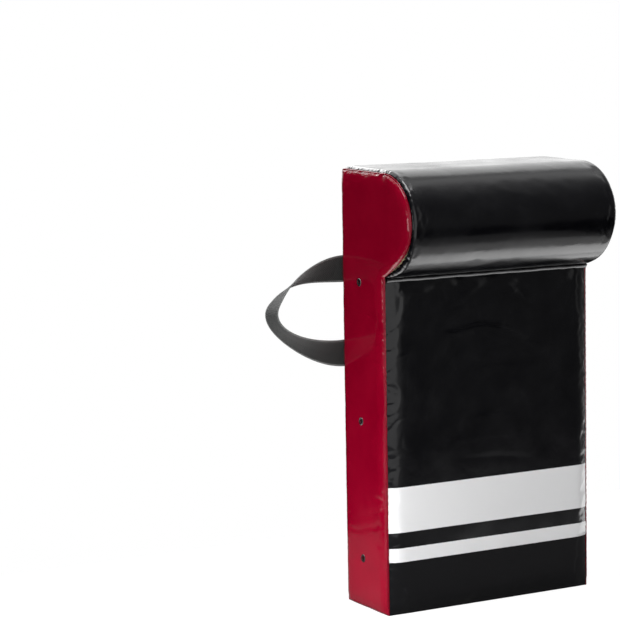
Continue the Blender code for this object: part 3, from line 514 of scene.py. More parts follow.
def pucker(distance, along, seed, spacing, length):
    """Short folds that start at a seam: sharp valleys, about evenly spaced, fading out."""
    depth = np.zeros(len(distance))
    for index in np.nonzero(distance < length * 2.2)[0]:
        away, place = distance[index], along[index]
        # Neighbouring folds lean the same way, and come in strong and weak patches.
        lean = noise.noise(Vector((place / (60 * MM), seed, 3.1))) * 1.6
        across = (place + lean * away) / spacing
        patch = noise.noise(Vector((place / (70 * MM), seed * 1.7, 9.4)))
        strength = min(max(0.55 + 1.3 * patch, 0.12), 1)
        # Each fold has its own length, and is sharp where the noise passes through zero.
        reach = length * (0.5 + 1.1 * abs(noise.noise(Vector((across * 0.8, seed, 1.3)))))
        valley = noise.noise(Vector((across, seed * 3.3, away / (length * 1.6))))
        shape = max(1 - abs(valley) * 4, 0)
        rise = min(away / (2 * MM), 1)
        depth[index] = strength * shape * rise * math.exp(-(away / reach) ** 2)
    return depth


def slow_wave(points, seed, size):
    shift = Vector((seed, 0, 0))
    return np.array([noise.noise(Vector(point) / size + shift) for point in points])


# %% [markdown]
# ## Letting the sheet settle
# Crown and puckers drawn by formula are too regular on their own. So each panel is first
# given to the cloth solver: its seams are pinned, the sheet is up to six parts in a
# thousand too large, and a little pressure pushes from the foam's side. It buckles into
# waves as a real one does. How far a point may move is capped, because foam is stiffer
# than air.

# %% Cloth settling
CLOTH = {
    "quality": 5, "mass": 0.4, "tension_stiffness": 30, "compression_stiffness": 30,
    "shear_stiffness": 12, "bending_stiffness": 1.2, "use_pressure": True,
    "uniform_pressure_force": 0.6, "vertex_group_mass": "seams",
}
NUDGE, NUDGE_SIZE = 0.25 * MM, 28 * MM  # a slight unevenness, so that it can buckle


def settle(piece, growth, cap, frames=11):
    """Run cloth on a panel whose border is pinned, and keep a capped result."""
    before, normals = mesh_points(piece), mesh_normals(piece)
    uses = {}
    for polygon in piece.data.polygons:
        for key in polygon.edge_keys:
            uses[key] = uses.get(key, 0) + 1
    border = {vertex for key, count in uses.items() if count == 1 for vertex in key}
    seams = piece.vertex_groups.new(name="seams")
    seams.add(list(border), 1.0, "REPLACE")
    nudge = np.array([noise.noise(Vector(point) / NUDGE_SIZE) for point in before])
    set_points(piece, before + normals * (nudge * NUDGE)[:, None])
    cloth = piece.modifiers.new("cloth", "CLOTH")
    for name, value in CLOTH.items():
        setattr(cloth.settings, name, value)
    cloth.settings.shrink_min = -growth
    cloth.settings.effector_weights.gravity = 0
    cloth.collision_settings.use_collision = False
    for step in range(1, frames + 1):
        bpy.context.scene.frame_set(step)
    bpy.context.view_layer.objects.active = piece
    bpy.ops.object.modifier_apply(modifier="cloth")
    bpy.context.scene.frame_set(1)
    moved = mesh_points(piece) - before
    size = np.linalg.norm(moved, axis=1)
    limit = cap * np.tanh(size / cap) / np.maximum(size, 1e-9)
    set_points(piece, before + moved * limit[:, None])
    print(piece.name, "moved", round(size.max() * 1000, 1), "mm at most")


# %% Finish one padded panel
SHEET = 1 * MM
SEAMS = ("low", "high", "left", "right")
WAVE_SIZE, WAVE_START, SEED_STEP = 85 * MM, 14 * MM, 7.7


def apply_modifier(piece, kind, **settings):
    step = piece.modifiers.new(kind.lower(), kind)
    for name, value in settings.items():
        setattr(step, name, value)
    deselect_all()
    bpy.context.view_layer.objects.active = piece
    bpy.ops.object.modifier_apply(modifier=step.name)


def held_share(points, clamped):
    """1 near a clamped place, such as an eyelet's flange, and 0 from 30 mm away."""
    share = np.zeros(len(points))
    for place in clamped:
        away = np.linalg.norm(points[:, 1:] - np.array(place)[None, 1:], axis=1)
        share = np.maximum(share, np.clip((30 * MM - away) / (16 * MM), 0, 1))
    return share


def padded_panel(name, rows, facing, crown, reaches, seed, puckers, wave=0.35,
                 growth=0.006, cap=0.9, clamped=(), soft=False, belly=(0, 1)):
    """Crown a panel, let it settle, and draw its puckers. All sizes are in millimetres.
    There is a reach for each seam, and a pucker is (seam, depth, spacing, length).
    Clamped places stay put, and a belly (height, width) is a second, softer swelling
    along the low seam."""
    lines = seam_lines(rows)
    piece = lay_grid(name, rows, facing)
    points, normals = mesh_points(piece), mesh_normals(piece)
    fields = seam_fields(points, lines)
    swelling = np.sin(np.pi * np.clip(fields[0][0] / (belly[1] * MM), 0, 1)) ** 2
    height = crown * MM + belly[0] * MM * swelling
    for (distance, along), reach in zip(fields, reaches):
        height = height * crown_share(distance, reach * MM, soft)
    set_points(piece, points + normals * height[:, None])
    if growth:
        settle(piece, growth, cap * MM)
    crowned = points + normals * height[:, None]
    hold = held_share(points, clamped)[:, None]
    set_points(piece, mesh_points(piece) * (1 - hold) + crowned * hold)
    apply_modifier(piece, "SUBSURF", levels=1, render_levels=1,
                   boundary_smooth="PRESERVE_CORNERS")
    points, normals = mesh_points(piece), mesh_normals(piece)
    fields = seam_fields(points, lines)
    free = 1 - held_share(points, clamped)
    shift = slow_wave(points, seed, WAVE_SIZE) * (wave * MM) * free
    for distance, along in fields:
        shift *= np.clip(distance / WAVE_START, 0, 1)
    for number, (seam, depth, spacing, length) in enumerate(puckers):
        distance, along = fields[SEAMS.index(seam)]
        own_seed = seed + number * SEED_STEP
        folds = pucker(distance, along, own_seed, spacing * MM, length * MM)
        shift -= folds * (depth * MM)
    set_points(piece, points + normals * shift[:, None])
    piece.data.shade_smooth()
    return piece


def cut_faces(piece, inside):
    """Delete the faces whose centres a test picks."""
    deselect_all()
    bpy.context.view_layer.objects.active = piece
    bpy.ops.object.mode_set(mode="EDIT")
    bpy.ops.mesh.select_mode(type="FACE")
    bpy.ops.mesh.select_all(action="DESELECT")
    bpy.ops.object.mode_set(mode="OBJECT")
    for polygon in piece.data.polygons:
        polygon.select = inside(polygon.center)
    bpy.ops.object.mode_set(mode="EDIT")
    bpy.ops.mesh.delete(type="FACE")
    bpy.ops.object.mode_set(mode="OBJECT")


def give_wall(piece, material):
    """Turn a panel's surface into a sheet of its real thickness, inwards."""
    apply_modifier(piece, "SOLIDIFY", thickness=SHEET, offset=-1)
    piece.data.materials.clear()
    piece.data.materials.append(material)
    piece.data.shade_smooth()


# %% [markdown]
# ## Front panel
# The black front below the roll is the face that is hit. It is taut, with the most
# puckers down its left and right seams and a gathered line at the crease. The closest
# puckers are 8 mm apart, so the grid has a row every 4 mm before it is subdivided. Across
# the panel its points are 3 mm apart near both seams, and 8 mm in the quiet middle.

# %% Front panel
CELL, FINE_CELL, COARSE_CELL, GATHERED = 4 * MM, 3 * MM, 8 * MM, 36 * MM
SIDE_X = WIDTH / 2


def span(start, end, cell=CELL):
    """Points from one place to another, about a cell apart."""
    count = max(round((Vector(end) - Vector(start)).length / cell), 2)
    return [Vector(start).lerp(Vector(end), step / count) for step in range(count + 1)]


def gathered_span(start, end):
    """Points that are close together near both ends, where the puckers are."""
    start, end = Vector(start), Vector(end)
    inner = (end - start).normalized() * GATHERED
    return (span(start, start + inner, FINE_CELL)
            + span(start + inner, end - inner, COARSE_CELL)[1:]
            + span(end - inner, end, FINE_CELL)[1:])


across = gathered_span((-SIDE_X, 0, 0), (SIDE_X, 0, 0))
front_rows = [
    [Vector((point.x, FRONT_Y, level.z)) for point in across]
    for level in span((0, 0, 0), (0, 0, CREASE_HEIGHT))
]
front = padded_panel(
    "front_cover", front_rows, (0, -1, 0), crown=7, reaches=(30, 30, 38, 34), seed=2.0,
    puckers=(("low", 0.6, 16, 10), ("high", 0.7, 14, 10), ("left", 1.2, 8, 8),
             ("left", 1.6, 26, 30), ("right", 1.1, 9, 8), ("right", 0.6, 24, 20)),
    soft=True,
)
give_wall(front, printed_sheet)
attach(front, "cover")
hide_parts("front_panel")
print("front panel faces", len(front.data.polygons))

# %% [markdown]
# ## Head panel
# One sheet wraps the roll from the crease to the back's top edge. Its side seams are
# curved, and a curved seam gathers the flat sheet most, so the puckers are deepest there.
# The roll fills the sheet tightly, so it has hardly any slow waves.

# %% Head panel
head_line = evenly(head_outline(), round(head_length / CELL))[0]
head_rows = [[Vector((point.x, *place)) for point in across] for place in head_line]
head = padded_panel(
    "roll_cover", head_rows, (0, -1, 0.3), crown=8, reaches=(24, 30, 8, 9), seed=5.0,
    puckers=(("low", 1.2, 60, 26), ("low", 0.6, 17, 9), ("high", 0.5, 14, 10),
             ("left", 2.1, 8, 13), ("right", 1.2, 9, 9)),
    wave=0.15, growth=0.003, cap=0.5, belly=(6, 120),
)
give_wall(head, black_sheet)
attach(head, "cover")
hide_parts("head_wrap_panel")
print("head panel faces", len(head.data.polygons))

# %% [markdown]
# ## Side panels
# Each side is one red sheet in the P outline. Rows of points run from the straight back
# to the front outline, so the grid's own border is the seam. The left and right panels
# come from the same rows, one at each end of the width. The sheet stays flat round each
# eyelet, where a flange and a washer clamp it.

# %% Side panels
side_fronts = [
    Vector((FRONT_Y, level.z)) for level in span((0, 0, 0), (0, 0, CREASE_HEIGHT))
]
side_fronts += [point for point in head_line[1:] if point.x < SHOULDER.x] + [SHOULDER]
back_share = [point.x / DEPTH for point in gathered_span((0, 0, 0), (DEPTH, 0, 0))]
EYELET_HEIGHTS = (94 * MM, 351.5 * MM, 609 * MM)
EYELET_Y, EYELET_HOLE = BACK_Y - 70 * MM, 4.6 * MM


def side_rows(x):
    """Level rows from the back to the front outline. The last one follows the flat top."""
    rows = []
    for point in side_fronts:
        back_point = Vector((BACK_Y, TOP if point == SHOULDER else point.y))
        rows.append([Vector((x, *back_point.lerp(point, share))) for share in back_share])
    return rows


def in_an_eyelet(centre):
    return any((centre.yz - Vector((EYELET_Y, level))).length < EYELET_HOLE
               for level in EYELET_HEIGHTS)


for side_name, sign in (("left", -1), ("right", 1)):
    side = padded_panel(
        side_name + "_cover", side_rows(sign * SIDE_X), (sign, 0, 0), crown=8,
        reaches=(30, 34, 24, 20), seed=11.0 + sign,
        puckers=(("low", 0.6, 14, 12), ("high", 1.3, 8, 9), ("left", 0.7, 11, 6),
                 ("right", 1.0, 9, 7)),
        wave=0.2, growth=0.004, cap=0.5,
        clamped=[(sign * SIDE_X, EYELET_Y, level) for level in EYELET_HEIGHTS],
    )
    cut_faces(side, in_an_eyelet)
    give_wall(side, red_sheet)
    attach(side, "cover")
    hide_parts(side_name + "_side_panel")
print("side panels faces", len(side.data.polygons))

# %% [markdown]
# ## Back panel
# The back is one black sheet with a slot for the zip. The slot's cells are left out of
# the finished grid, so its two long edges are straight. The panel is long and plain, so
# its rows are 6 mm apart, which saves a third of them.

# %% Back panel
ZIP_LOW, ZIP_HIGH, SLOT, BACK_CELL = 100 * MM, 700 * MM, 20 * MM, 6 * MM
half_across = gathered_span((SLOT / 2, 0, 0), (SIDE_X, 0, 0))
back_x = ([-point.x for point in reversed(half_across)] + [-SLOT / 4, 0, SLOT / 4]
          + [point.x for point in half_across])
back_levels = (span((0, 0, 0), (0, 0, ZIP_LOW), BACK_CELL)
               + span((0, 0, ZIP_LOW), (0, 0, ZIP_HIGH), BACK_CELL)[1:]
               + span((0, 0, ZIP_HIGH), (0, 0, TOP), BACK_CELL)[1:])
back_rows = [[Vector((x, BACK_Y, level.z)) for x in back_x] for level in back_levels]
back_cover = padded_panel(
    "back_cover", back_rows, (0, 1, 0), crown=5, reaches=(40, 40, 40, 40), seed=17.0,
    puckers=(("low", 0.6, 14, 10), ("high", 0.8, 13, 10), ("left", 0.9, 9, 8),
             ("right", 0.9, 9, 8)),
    wave=0.2,
)
cut_faces(back_cover, lambda centre: (
    abs(centre.x) < SLOT / 2 and ZIP_LOW < centre.z < ZIP_HIGH))
give_wall(back_cover, black_sheet)
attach(back_cover, "cover")
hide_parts("back_panel")
print("back panel faces", len(back_cover.data.polygons))

# %% [markdown]
# ## Base panel
# The base carries the weight, so it lies flat and has no crown. Only its seams gather.

# %% Base panel
FLOOR_GAP = 0.2 * MM
base_rows = [[Vector((point.x, level.y, FLOOR_GAP)) for point in across]
             for level in span((0, FRONT_Y, 0), (0, BACK_Y, 0))]
base = padded_panel(
    "base_cover", base_rows, (0, 0, -1), crown=0, reaches=(30, 30, 30, 30), seed=23.0,
    puckers=[(seam, 0.7, 10, 8) for seam in SEAMS], wave=0, growth=0,
)
give_wall(base, black_sheet)
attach(base, "cover")
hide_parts("base_panel")
print("base panel faces", len(base.data.polygons))

# %% [markdown]
# ## Foam
# Inside are two blocks of foam, glued together: the slab, and the roll in front of it.
# The cover hides them, but they are what a hand feels through the sheet. Each is a grid
# in its own outline, a little smaller than the cover, with Solidify for the whole width.

# %% Foam blocks
FOAM_INSET, GLUE_LINE = 5 * MM, 0.3 * MM
FOAM_CELLS = 12
foam_x = -(SIDE_X - FOAM_INSET)
shrink = 1 - 2 * FOAM_INSET / DEPTH


def foam_rows(points, back_y):
    """Rows of points from a straight back to a front outline."""
    return [
        [Vector((foam_x, back_y + (point.x - back_y) * step / FOAM_CELLS, point.y))
         for step in range(FOAM_CELLS + 1)]
        for point in points
    ]


foam_top = TOP - FOAM_INSET
slab_front = FRONT_Y * shrink
slab_line = [
    Vector((slab_front, level.z))
    for level in span((0, 0, FOAM_INSET), (0, 0, foam_top), 20 * MM)
]
roll_line = [
    Vector((point.x + FOAM_INSET, min(max(point.y, CREASE_HEIGHT + FOAM_INSET), foam_top)))
    for point in head_line[::4] if point.x < slab_front - 2 * FOAM_INSET
]
for foam_name, rows, node in (
    ("foam_slab", foam_rows(slab_line, BACK_Y * shrink), "foam_core_slab"),
    ("foam_roll", foam_rows(roll_line, slab_front - GLUE_LINE), "foam_head_roll"),
):
    block = lay_grid(foam_name, rows, (-1, 0, 0))
    apply_modifier(block, "SOLIDIFY", thickness=-2 * foam_x, offset=-1)
    apply_modifier(block, "BEVEL", width=3 * MM, segments=2, limit_method="ANGLE")
    block.data.shade_smooth()
    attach(block, "cover")
    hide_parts(node)
    print(foam_name, "is", [round(size * 1000) for size in block.dimensions], "mm")

# %% [markdown]
# ## Seams
# Where two panels meet, their edges are turned in and stitched, and a folded lip of the
# sheet closes the joint. Round each side it is red, as the side panel is. Elsewhere it is
# black, with a fine gleam at the crease below the roll. A thin tube along each seam line
# is enough: a curve with a round bevel, turned into a mesh.

# %% Seam lips


def seam_lip(name, points, radius, material=black_sheet, closed=False):
    """A tube of one radius along a line of points."""
    deselect_all()
    line = bpy.data.curves.new(name, "CURVE")
    line.dimensions = "3D"
    line.bevel_depth = radius
    line.bevel_resolution = 2
    spline = line.splines.new("POLY")
    spline.points.add(len(points) - 1)
    for place, point in zip(spline.points, points):
        place.co = (*point, 1)
    spline.use_cyclic_u = closed
    lip = bpy.data.objects.new(name, line)
    bpy.context.scene.collection.objects.link(lip)
    lip.select_set(True)
    bpy.context.view_layer.objects.active = lip
    bpy.ops.object.convert(target="MESH")
    lip = bpy.context.object
    lip.data.materials.clear()
    lip.data.materials.append(material)
    lip.data.shade_smooth()
    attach(lip, "cover")


LIP, RING = 1.1 * MM, 1.5 * MM
RING_INSET = 0.4 * MM
RING_DEPTH, RING_HEIGHT = 0.994, 1.0015  # two scales that seat the ring in its seam
# The ring runs round the P, and its back corner is cut off by two points.
head_points = evenly(head_outline(), 150)[0]
back_corner = head_points.pop()
ring = [Vector((BACK_Y, 0)), Vector((FRONT_Y, 0)), *head_points,
        back_corner - Vector((5 * MM, 0)), back_corner - Vector((1 * MM, 6 * MM))]
for side_name, sign in (("left", -1), ("right", 1)):
    seam_lip(side_name + "_seam", [
        Vector((sign * (SIDE_X - RING_INSET), point.x * RING_DEPTH,
                max(point.y * RING_HEIGHT, RING)))
        for point in ring
    ], RING, red_sheet, closed=True)
for seam_name, y, z, radius in (
    ("crease_seam", FRONT_Y - 4.4 * MM, CREASE_HEIGHT - 3 * MM, 1.6 * MM),
    ("top_back_seam", BACK_Y - LIP, TOP - LIP, LIP),
    ("front_foot_seam", FRONT_Y + LIP, LIP, LIP),
    ("back_foot_seam", BACK_Y - LIP, LIP, LIP),
):
    ends = [Vector((sign * (SIDE_X - LIP), y, z)) for sign in (-1, 0, 1)]
    seam_lip(seam_name, ends, radius)
print("seam ring has", len(ring), "points")

# %% [markdown]
# Under the roll, the front panel's top edge is turned over and stitched flat. The double
# thickness stands out as a narrow ledge that leans forward, so it mirrors the floor and
# shows as a pale line. It is a grid along the crease, with Solidify for its thickness.

# %% Turned edge under the roll
# Each row's place from the crease in millimetres, to the back and up.
LEDGE = ((-7.6, -2.2), (-8.8, -3.2), (-8.2, -5.2), (-7, -7.2), (-5.6, -9.2), (-4.2, -10.2))
RIPPLES = ((0.3 * MM, 61), (0.2 * MM, 173))  # height, and radians along each metre


def finish_strip(piece, thickness, material, offset=0):
    """Give a grid its thickness, slightly rounded edges and its material."""
    apply_modifier(piece, "SOLIDIFY", thickness=thickness, offset=offset)
    apply_modifier(piece, "BEVEL", width=0.5 * MM, segments=2, limit_method="ANGLE")
    piece.data.materials.append(material)
    piece.data.shade_smooth()


ledge_rows = [
    [Vector((point.x, FRONT_Y + y * MM, CREASE_HEIGHT + z * MM
             + sum(rise * math.sin(point.x * radians) for rise, radians in RIPPLES)))
     for point in span((-SIDE_X + LIP, 0, 0), (SIDE_X - LIP, 0, 0), 6 * MM)]
    for y, z in LEDGE
]
ledge = lay_grid("turned_edge", ledge_rows, (0, -1, -1))
finish_strip(ledge, 1.6 * MM, black_sheet, offset=-1)
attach(ledge, "cover")
print("turned edge faces", len(ledge.data.polygons))

# %% [markdown]
# ## Webbing
# The handle is polyester webbing 50 mm wide, woven as a herringbone. To the eye it is
# dark grey with fine slanting ribs that change direction every few millimetres, and a
# smooth selvedge along each edge, whose paler grey is a painted highlight for the light
# that its rounded edge catches. The ribs follow the strap, so the pattern reads the
# strap's own UV map, with one unit across the width and one along the length.

# %% Webbing material
STRAP_WIDTH, STRAP_THICKNESS = 50 * MM, 1.8 * MM
COLUMN, RIB_PITCH = 8 * MM, 4 * MM


def webbing_material(name, length):
    """Webbing for a strap of one length, which its UV map runs along."""
    made, tree, shader = start_material(name, {
        "Roughness": 0.82, "Specular IOR Level": 0.3, "Sheen Weight": 0.25,
        "Sheen Roughness": 0.5,
    })
    strap = add_node(tree, "ShaderNodeUVMap", {"uv_map": "UVMap"}).outputs[0]
    real = add_node(tree, "ShaderNodeVectorMath", {
        "operation": "MULTIPLY", 1: (STRAP_WIDTH, length, 0),
    }, {0: strap})
    parts = add_node(tree, "ShaderNodeSeparateXYZ", links={0: real.outputs[0]})
    # A herringbone of 8 mm columns: the distance along is shifted by a triangle wave.
    zigzag = add_node(tree, "ShaderNodeMath", {"operation": "PINGPONG", 1: COLUMN},
                      {0: parts.outputs["X"]})
    slanted = add_node(tree, "ShaderNodeMath", {"operation": "ADD"},
                       {0: parts.outputs["Y"], 1: zigzag.outputs[0]})
    # Real ribs are 1.1 mm apart. They are drawn 4 mm apart, so that they show.
    turns = add_node(tree, "ShaderNodeMath", {
        "operation": "MULTIPLY", 1: 2 * math.pi / RIB_PITCH,
    }, {0: slanted.outputs[0]})
    ribs = add_node(tree, "ShaderNodeMath", {"operation": "SINE"}, {0: turns.outputs[0]})
    from_middle = add_node(tree, "ShaderNodeMath", {
        "operation": "SUBTRACT", 1: STRAP_WIDTH / 2,
    }, {0: parts.outputs["X"]})
    off_middle = add_node(tree, "ShaderNodeMath", {"operation": "ABSOLUTE"},
                          {0: from_middle.outputs[0]})
    # The paler grey band along each edge is a painted highlight: the light that the strap's
    # rounded selvedge catches.
    selvedge_highlight = add_node(tree, "ShaderNodeMapRange", {
        "From Min": STRAP_WIDTH / 2 - 3.8 * MM, "From Max": STRAP_WIDTH / 2 - 2.8 * MM,
    }, {"Value": off_middle.outputs[0]})
    thread = add_node(tree, "ShaderNodeMapRange", {"From Min": -1.0, "From Max": 1.0},
                      {"Value": ribs.outputs[0]})
    woven = add_node(tree, "ShaderNodeMix", {
        "data_type": "RGBA", 6: linear("#0a0b0b"), 7: linear("#262827"),
    }, {0: thread.outputs[0]})
    colour = add_node(tree, "ShaderNodeMix", {"data_type": "RGBA", 7: linear("#5e605f")},
                      {0: selvedge_highlight.outputs[0], 6: woven.outputs[2]})
    tree.links.new(colour.outputs[2], shader.inputs["Base Color"])
    relief = add_node(tree, "ShaderNodeBump", {"Strength": 0.6, "Distance": 0.35 * MM},
                      {"Height": thread.outputs[0]})
    tree.links.new(relief.outputs[0], shader.inputs["Normal"])
    return made


# %% [markdown]
# ## Handle
# The strap leaves the back edge flat, turns over once, and comes back 158 mm lower. Its
# middle line is two smooth curves that meet at the tip. At each point the strap's width
# is turned a little more, from upright, through crossways at the tip, to upright again.

# %% Handle
HANDLE_AXIS = Vector((-SIDE_X - 3 * MM, BACK_Y + 2.6 * MM, 0))
ROOT_TOP, ROOT_LOW, REACH, TIP_DROP = 628 * MM, 470 * MM, 142 * MM, 58 * MM
TIP_LEAN = math.radians(37)
UPPER_PULLS, LOWER_PULLS = (89 * MM, 37 * MM), (58 * MM, 58 * MM)
TWIST_BIAS = 0.4  # how much faster the strap turns near its roots than at the tip
ROOT_OVERLAP = 0.6 * MM  # how far each root reaches into the part that is sewn down


def handle_line(count):
    """The strap's middle line, seen from behind, from its upper root to its lower one."""
    top, low = Vector((0, ROOT_TOP)), Vector((0, ROOT_LOW))
    tip = Vector((-REACH, ROOT_TOP - TIP_DROP))
    out = Vector((-1, 0))
    rising = Vector((math.sin(TIP_LEAN), math.cos(TIP_LEAN)))
    upper = (top, top + out * UPPER_PULLS[0], tip + rising * UPPER_PULLS[1], tip)
    lower = (tip, tip - rising * LOWER_PULLS[0], low + out * LOWER_PULLS[1], low)
    points = [curve_point(upper, step / 100) for step in range(100)]
    points += [curve_point(lower, step / 100) for step in range(101)]
    return evenly(points, count)


def strap_rows(points, columns=10):
    """Rows across the strap, each turned a little more than the one before."""
    rows = []
    last = len(points) - 1
    straight_out = {0: Vector((-1, 0)), last: Vector((1, 0))}
    for number, point in enumerate(points):
        along = (points[min(number + 1, last)] - points[max(number - 1, 0)]).normalized()
        along = straight_out.get(number, along)
        share = number / last
        bias = TWIST_BIAS * math.sin(2 * math.pi * share) / (2 * math.pi)
        turn = math.pi * (share + bias)
        outward = Vector((along.y, 0, -along.x))
        width = outward * math.cos(turn) + Vector((0, -1, 0)) * math.sin(turn)
        centre = HANDLE_AXIS + Vector((point.x, 0, point.y))
        if number in straight_out:
            centre.x += ROOT_OVERLAP
        rows.append([
            centre + width * STRAP_WIDTH * (0.5 - column / columns)
            for column in range(columns + 1)
        ])
    return rows


strap_points, strap_length = handle_line(130)
handle = lay_grid("webbing_handle", strap_rows(strap_points), (0, 1, 0))
loop_webbing = webbing_material("herringbone_webbing", strap_length)
finish_strip(handle, STRAP_THICKNESS, loop_webbing)
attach(handle, "handle")
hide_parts("handle_webbing")
print("strap is", round(strap_length * 1000), "mm from root to root")

# %% [markdown]
# ## Sewn ends
# Both ends of the strap lie on the back panel and reach just past its edge, where the
# free loop goes on. So each is a grid that follows the panel's crown, with rows that are
# closer near the edge.

# %% Sewn ends
SEWN_LENGTH, SEWN_START, SEWN_ROWS = 62 * MM, -3.6 * MM, 24
BACK_CROWN, BACK_REACH, CLEARANCE = 5 * MM, 40 * MM, 0.3 * MM


def back_rise(distance):
    """How far the back panel stands out at a distance from the back's side seam."""
    share = min(max(distance / BACK_REACH, 0), 1)
    return BACK_CROWN * math.sqrt(1 - (1 - share) ** 2)


def sewn_rows(root, columns=8):
    """Rows across a sewn end, from just outside the back's side seam inwards."""
    rows = []
    for step in range(SEWN_ROWS + 1):
        distance = SEWN_START + (SEWN_LENGTH - SEWN_START) * (step / SEWN_ROWS) ** 1.6
        rise = max(back_rise(distance) + (STRAP_THICKNESS / 2 + CLEARANCE), 2.6 * MM)
        rows.append([
            Vector((distance - SIDE_X, BACK_Y + rise,
                    root + STRAP_WIDTH * (column / columns - 0.5)))
            for column in range(columns + 1)
        ])
    return rows


sewn_webbing = webbing_material("sewn_herringbone_webbing", SEWN_LENGTH)
for end_name, root in (("top", ROOT_TOP), ("low", ROOT_LOW)):
    end = lay_grid("sewn_end_" + end_name, sewn_rows(root), (0, 1, 0))
    finish_strip(end, STRAP_THICKNESS, sewn_webbing)
    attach(end, "cover")
    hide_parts("handle_sewn_end_" + end_name)
print("sewn end faces", len(end.data.polygons))

# %% [markdown]
# ## Stitches
# A load-bearing strap is sewn with a square and a cross, and the zip's tapes with a row
# along each edge of the slot. Each stitch is a short raised thread: one small capsule is
# modelled from a sphere, copied along each line, and joined with its row.

# %% One stitch
STITCH, STITCH_PITCH, THREAD = 3.1 * MM, 4.2 * MM, 0.45 * MM

deselect_all()
bpy.ops.mesh.primitive_uv_sphere_add(segments=6, ring_count=4, radius=THREAD)
capsule = bpy.context.object
capsule.name = "one_stitch"
for vertex in capsule.data.vertices:
    if abs(vertex.co.z) > THREAD / 100:  # the ring in the middle stays
        vertex.co.z += math.copysign(STITCH / 2 - THREAD, vertex.co.z)
thread_finish, tree, shader = start_material("bonded_nylon_thread", {
    "Roughness": 0.55, "Specular IOR Level": 0.4,
})
place = add_node(tree, "ShaderNodeTexCoord").outputs["Object"]
twist = add_node(tree, "ShaderNodeTexNoise", {"Scale": 1 / (1.2 * MM), "Detail": 2.0},
                 {"Vector": place})
shade = add_node(tree, "ShaderNodeMix", {
    "data_type": "RGBA", 6: linear("#3a3b3d"), 7: linear("#626468"),
}, {0: twist.outputs["Fac"]})
tree.links.new(shade.outputs[2], shader.inputs["Base Color"])
capsule.data.materials.append(thread_finish)
print("one stitch has", len(capsule.data.polygons), "faces")

# %% Rows of stitches


def stitch_rows(name, lines):
    """Copies of the stitch along straight lines, joined into one piece."""
    deselect_all()
    made = []
    for start, end in lines:
        along = (end - start).normalized()
        count = max(int((end - start).length / STITCH_PITCH), 1)
        turn = along.to_track_quat("Z", "Y").to_matrix().to_4x4()
        for index in range(count):
            centre = start.lerp(end, (index + 0.5) / count)
            thread = bpy.data.objects.new(name, capsule.data.copy())
            thread.data.transform(Matrix.Translation(centre) @ turn)
            bpy.context.scene.collection.objects.link(thread)
            thread.select_set(True)
            made.append(thread)
    bpy.context.view_layer.objects.active = made[0]
    bpy.ops.object.join()
    row = bpy.context.object
    row.name = name
    row.data.shade_smooth()
    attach(row, "cover")
    print(name, "has", len(made), "stitches")


def on_strap(distance, height, root):
    """A place on a sewn end's outer face, by its distance from the seam and its height."""
    rise = max(back_rise(distance) + STRAP_THICKNESS + CLEARANCE, 3.5 * MM)
    return Vector((distance - SIDE_X, BACK_Y + rise, root + height))


def followed(start, end, root, steps=3):
    """A line on the curved strap, cut into short straight pieces."""
    points = [
        on_strap(*(a + (b - a) * step / steps for a, b in zip(start, end)), root)
        for step in range(steps + 1)
    ]
    return list(zip(points, points[1:]))


NEAR, FAR, HALF = 14 * MM, 56 * MM, 19 * MM
corners = [(NEAR, -HALF), (FAR, -HALF), (FAR, HALF), (NEAR, HALF)]
square, cross = list(zip(corners, corners[1:] + corners[:1])), [corners[::2], corners[1::2]]
for end_name, root in (("top", ROOT_TOP), ("low", ROOT_LOW)):
    stitch_rows("strap_stitches_" + end_name, [
        piece for start, end in square + cross for piece in followed(start, end, root)
    ])

# %% Stitches round the zip
BACK_FACE = BACK_Y + BACK_CROWN
EDGE_IN = 3.2 * MM  # how far outside the slot each row runs
left_x, right_x = -SLOT / 2 - EDGE_IN, SLOT / 2 + EDGE_IN
low_z, high_z = ZIP_LOW - EDGE_IN, ZIP_HIGH + EDGE_IN
stitch_rows("zip_stitches", [
    (Vector((x1, BACK_FACE, z1)), Vector((x2, BACK_FACE, z2)))
    for (x1, z1), (x2, z2) in (
        ((left_x, low_z), (left_x, high_z)), ((right_x, low_z), (right_x, high_z)),
        ((left_x, low_z), (right_x, low_z)), ((left_x, high_z), (right_x, high_z)),
    )
])
bpy.data.objects.remove(capsule)

# %% [markdown]
# ## Zip guard
# Behind the teeth lies a narrow strip of the black sheet, which keeps grit out of the
# foam. It is a grid with a shallow hollow down its middle, so it clears the slider.

# %% Zip guard
GUARD_Y, HOLLOW, GUARD_END = 73.6 * MM, 0.8 * MM, 12 * MM
GUARD_HALF = 24  # half its width, in millimetres
guard_rows = [
    [Vector((x * MM, GUARD_Y - HOLLOW * (1 - (x / GUARD_HALF) ** 2), level.z))
     for x in range(-GUARD_HALF, GUARD_HALF + 1, 4)]
    for level in span((0, 0, ZIP_LOW - GUARD_END), (0, 0, ZIP_HIGH + GUARD_END), 12 * MM)
]
guard = lay_grid("zip_guard", guard_rows, (0, 1, 0))
apply_modifier(guard, "SOLIDIFY", thickness=0.6 * MM, offset=-1)
guard.data.materials.append(black_sheet)
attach(guard, "cover")
print("guard strip faces", len(guard.data.polygons))

# %% [markdown]
# ## Finishes for the frame's own pieces
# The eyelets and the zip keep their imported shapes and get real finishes. The eyelets are
# stamped brass with a dark plating, worn a little paler in places. The slider is die-cast
# zinc under black nickel. A noise about two millimetres wide, with finer noise inside it,
# gives the unevenness of worn plating, and changes both its tone and its gloss.

# %% Plated metals


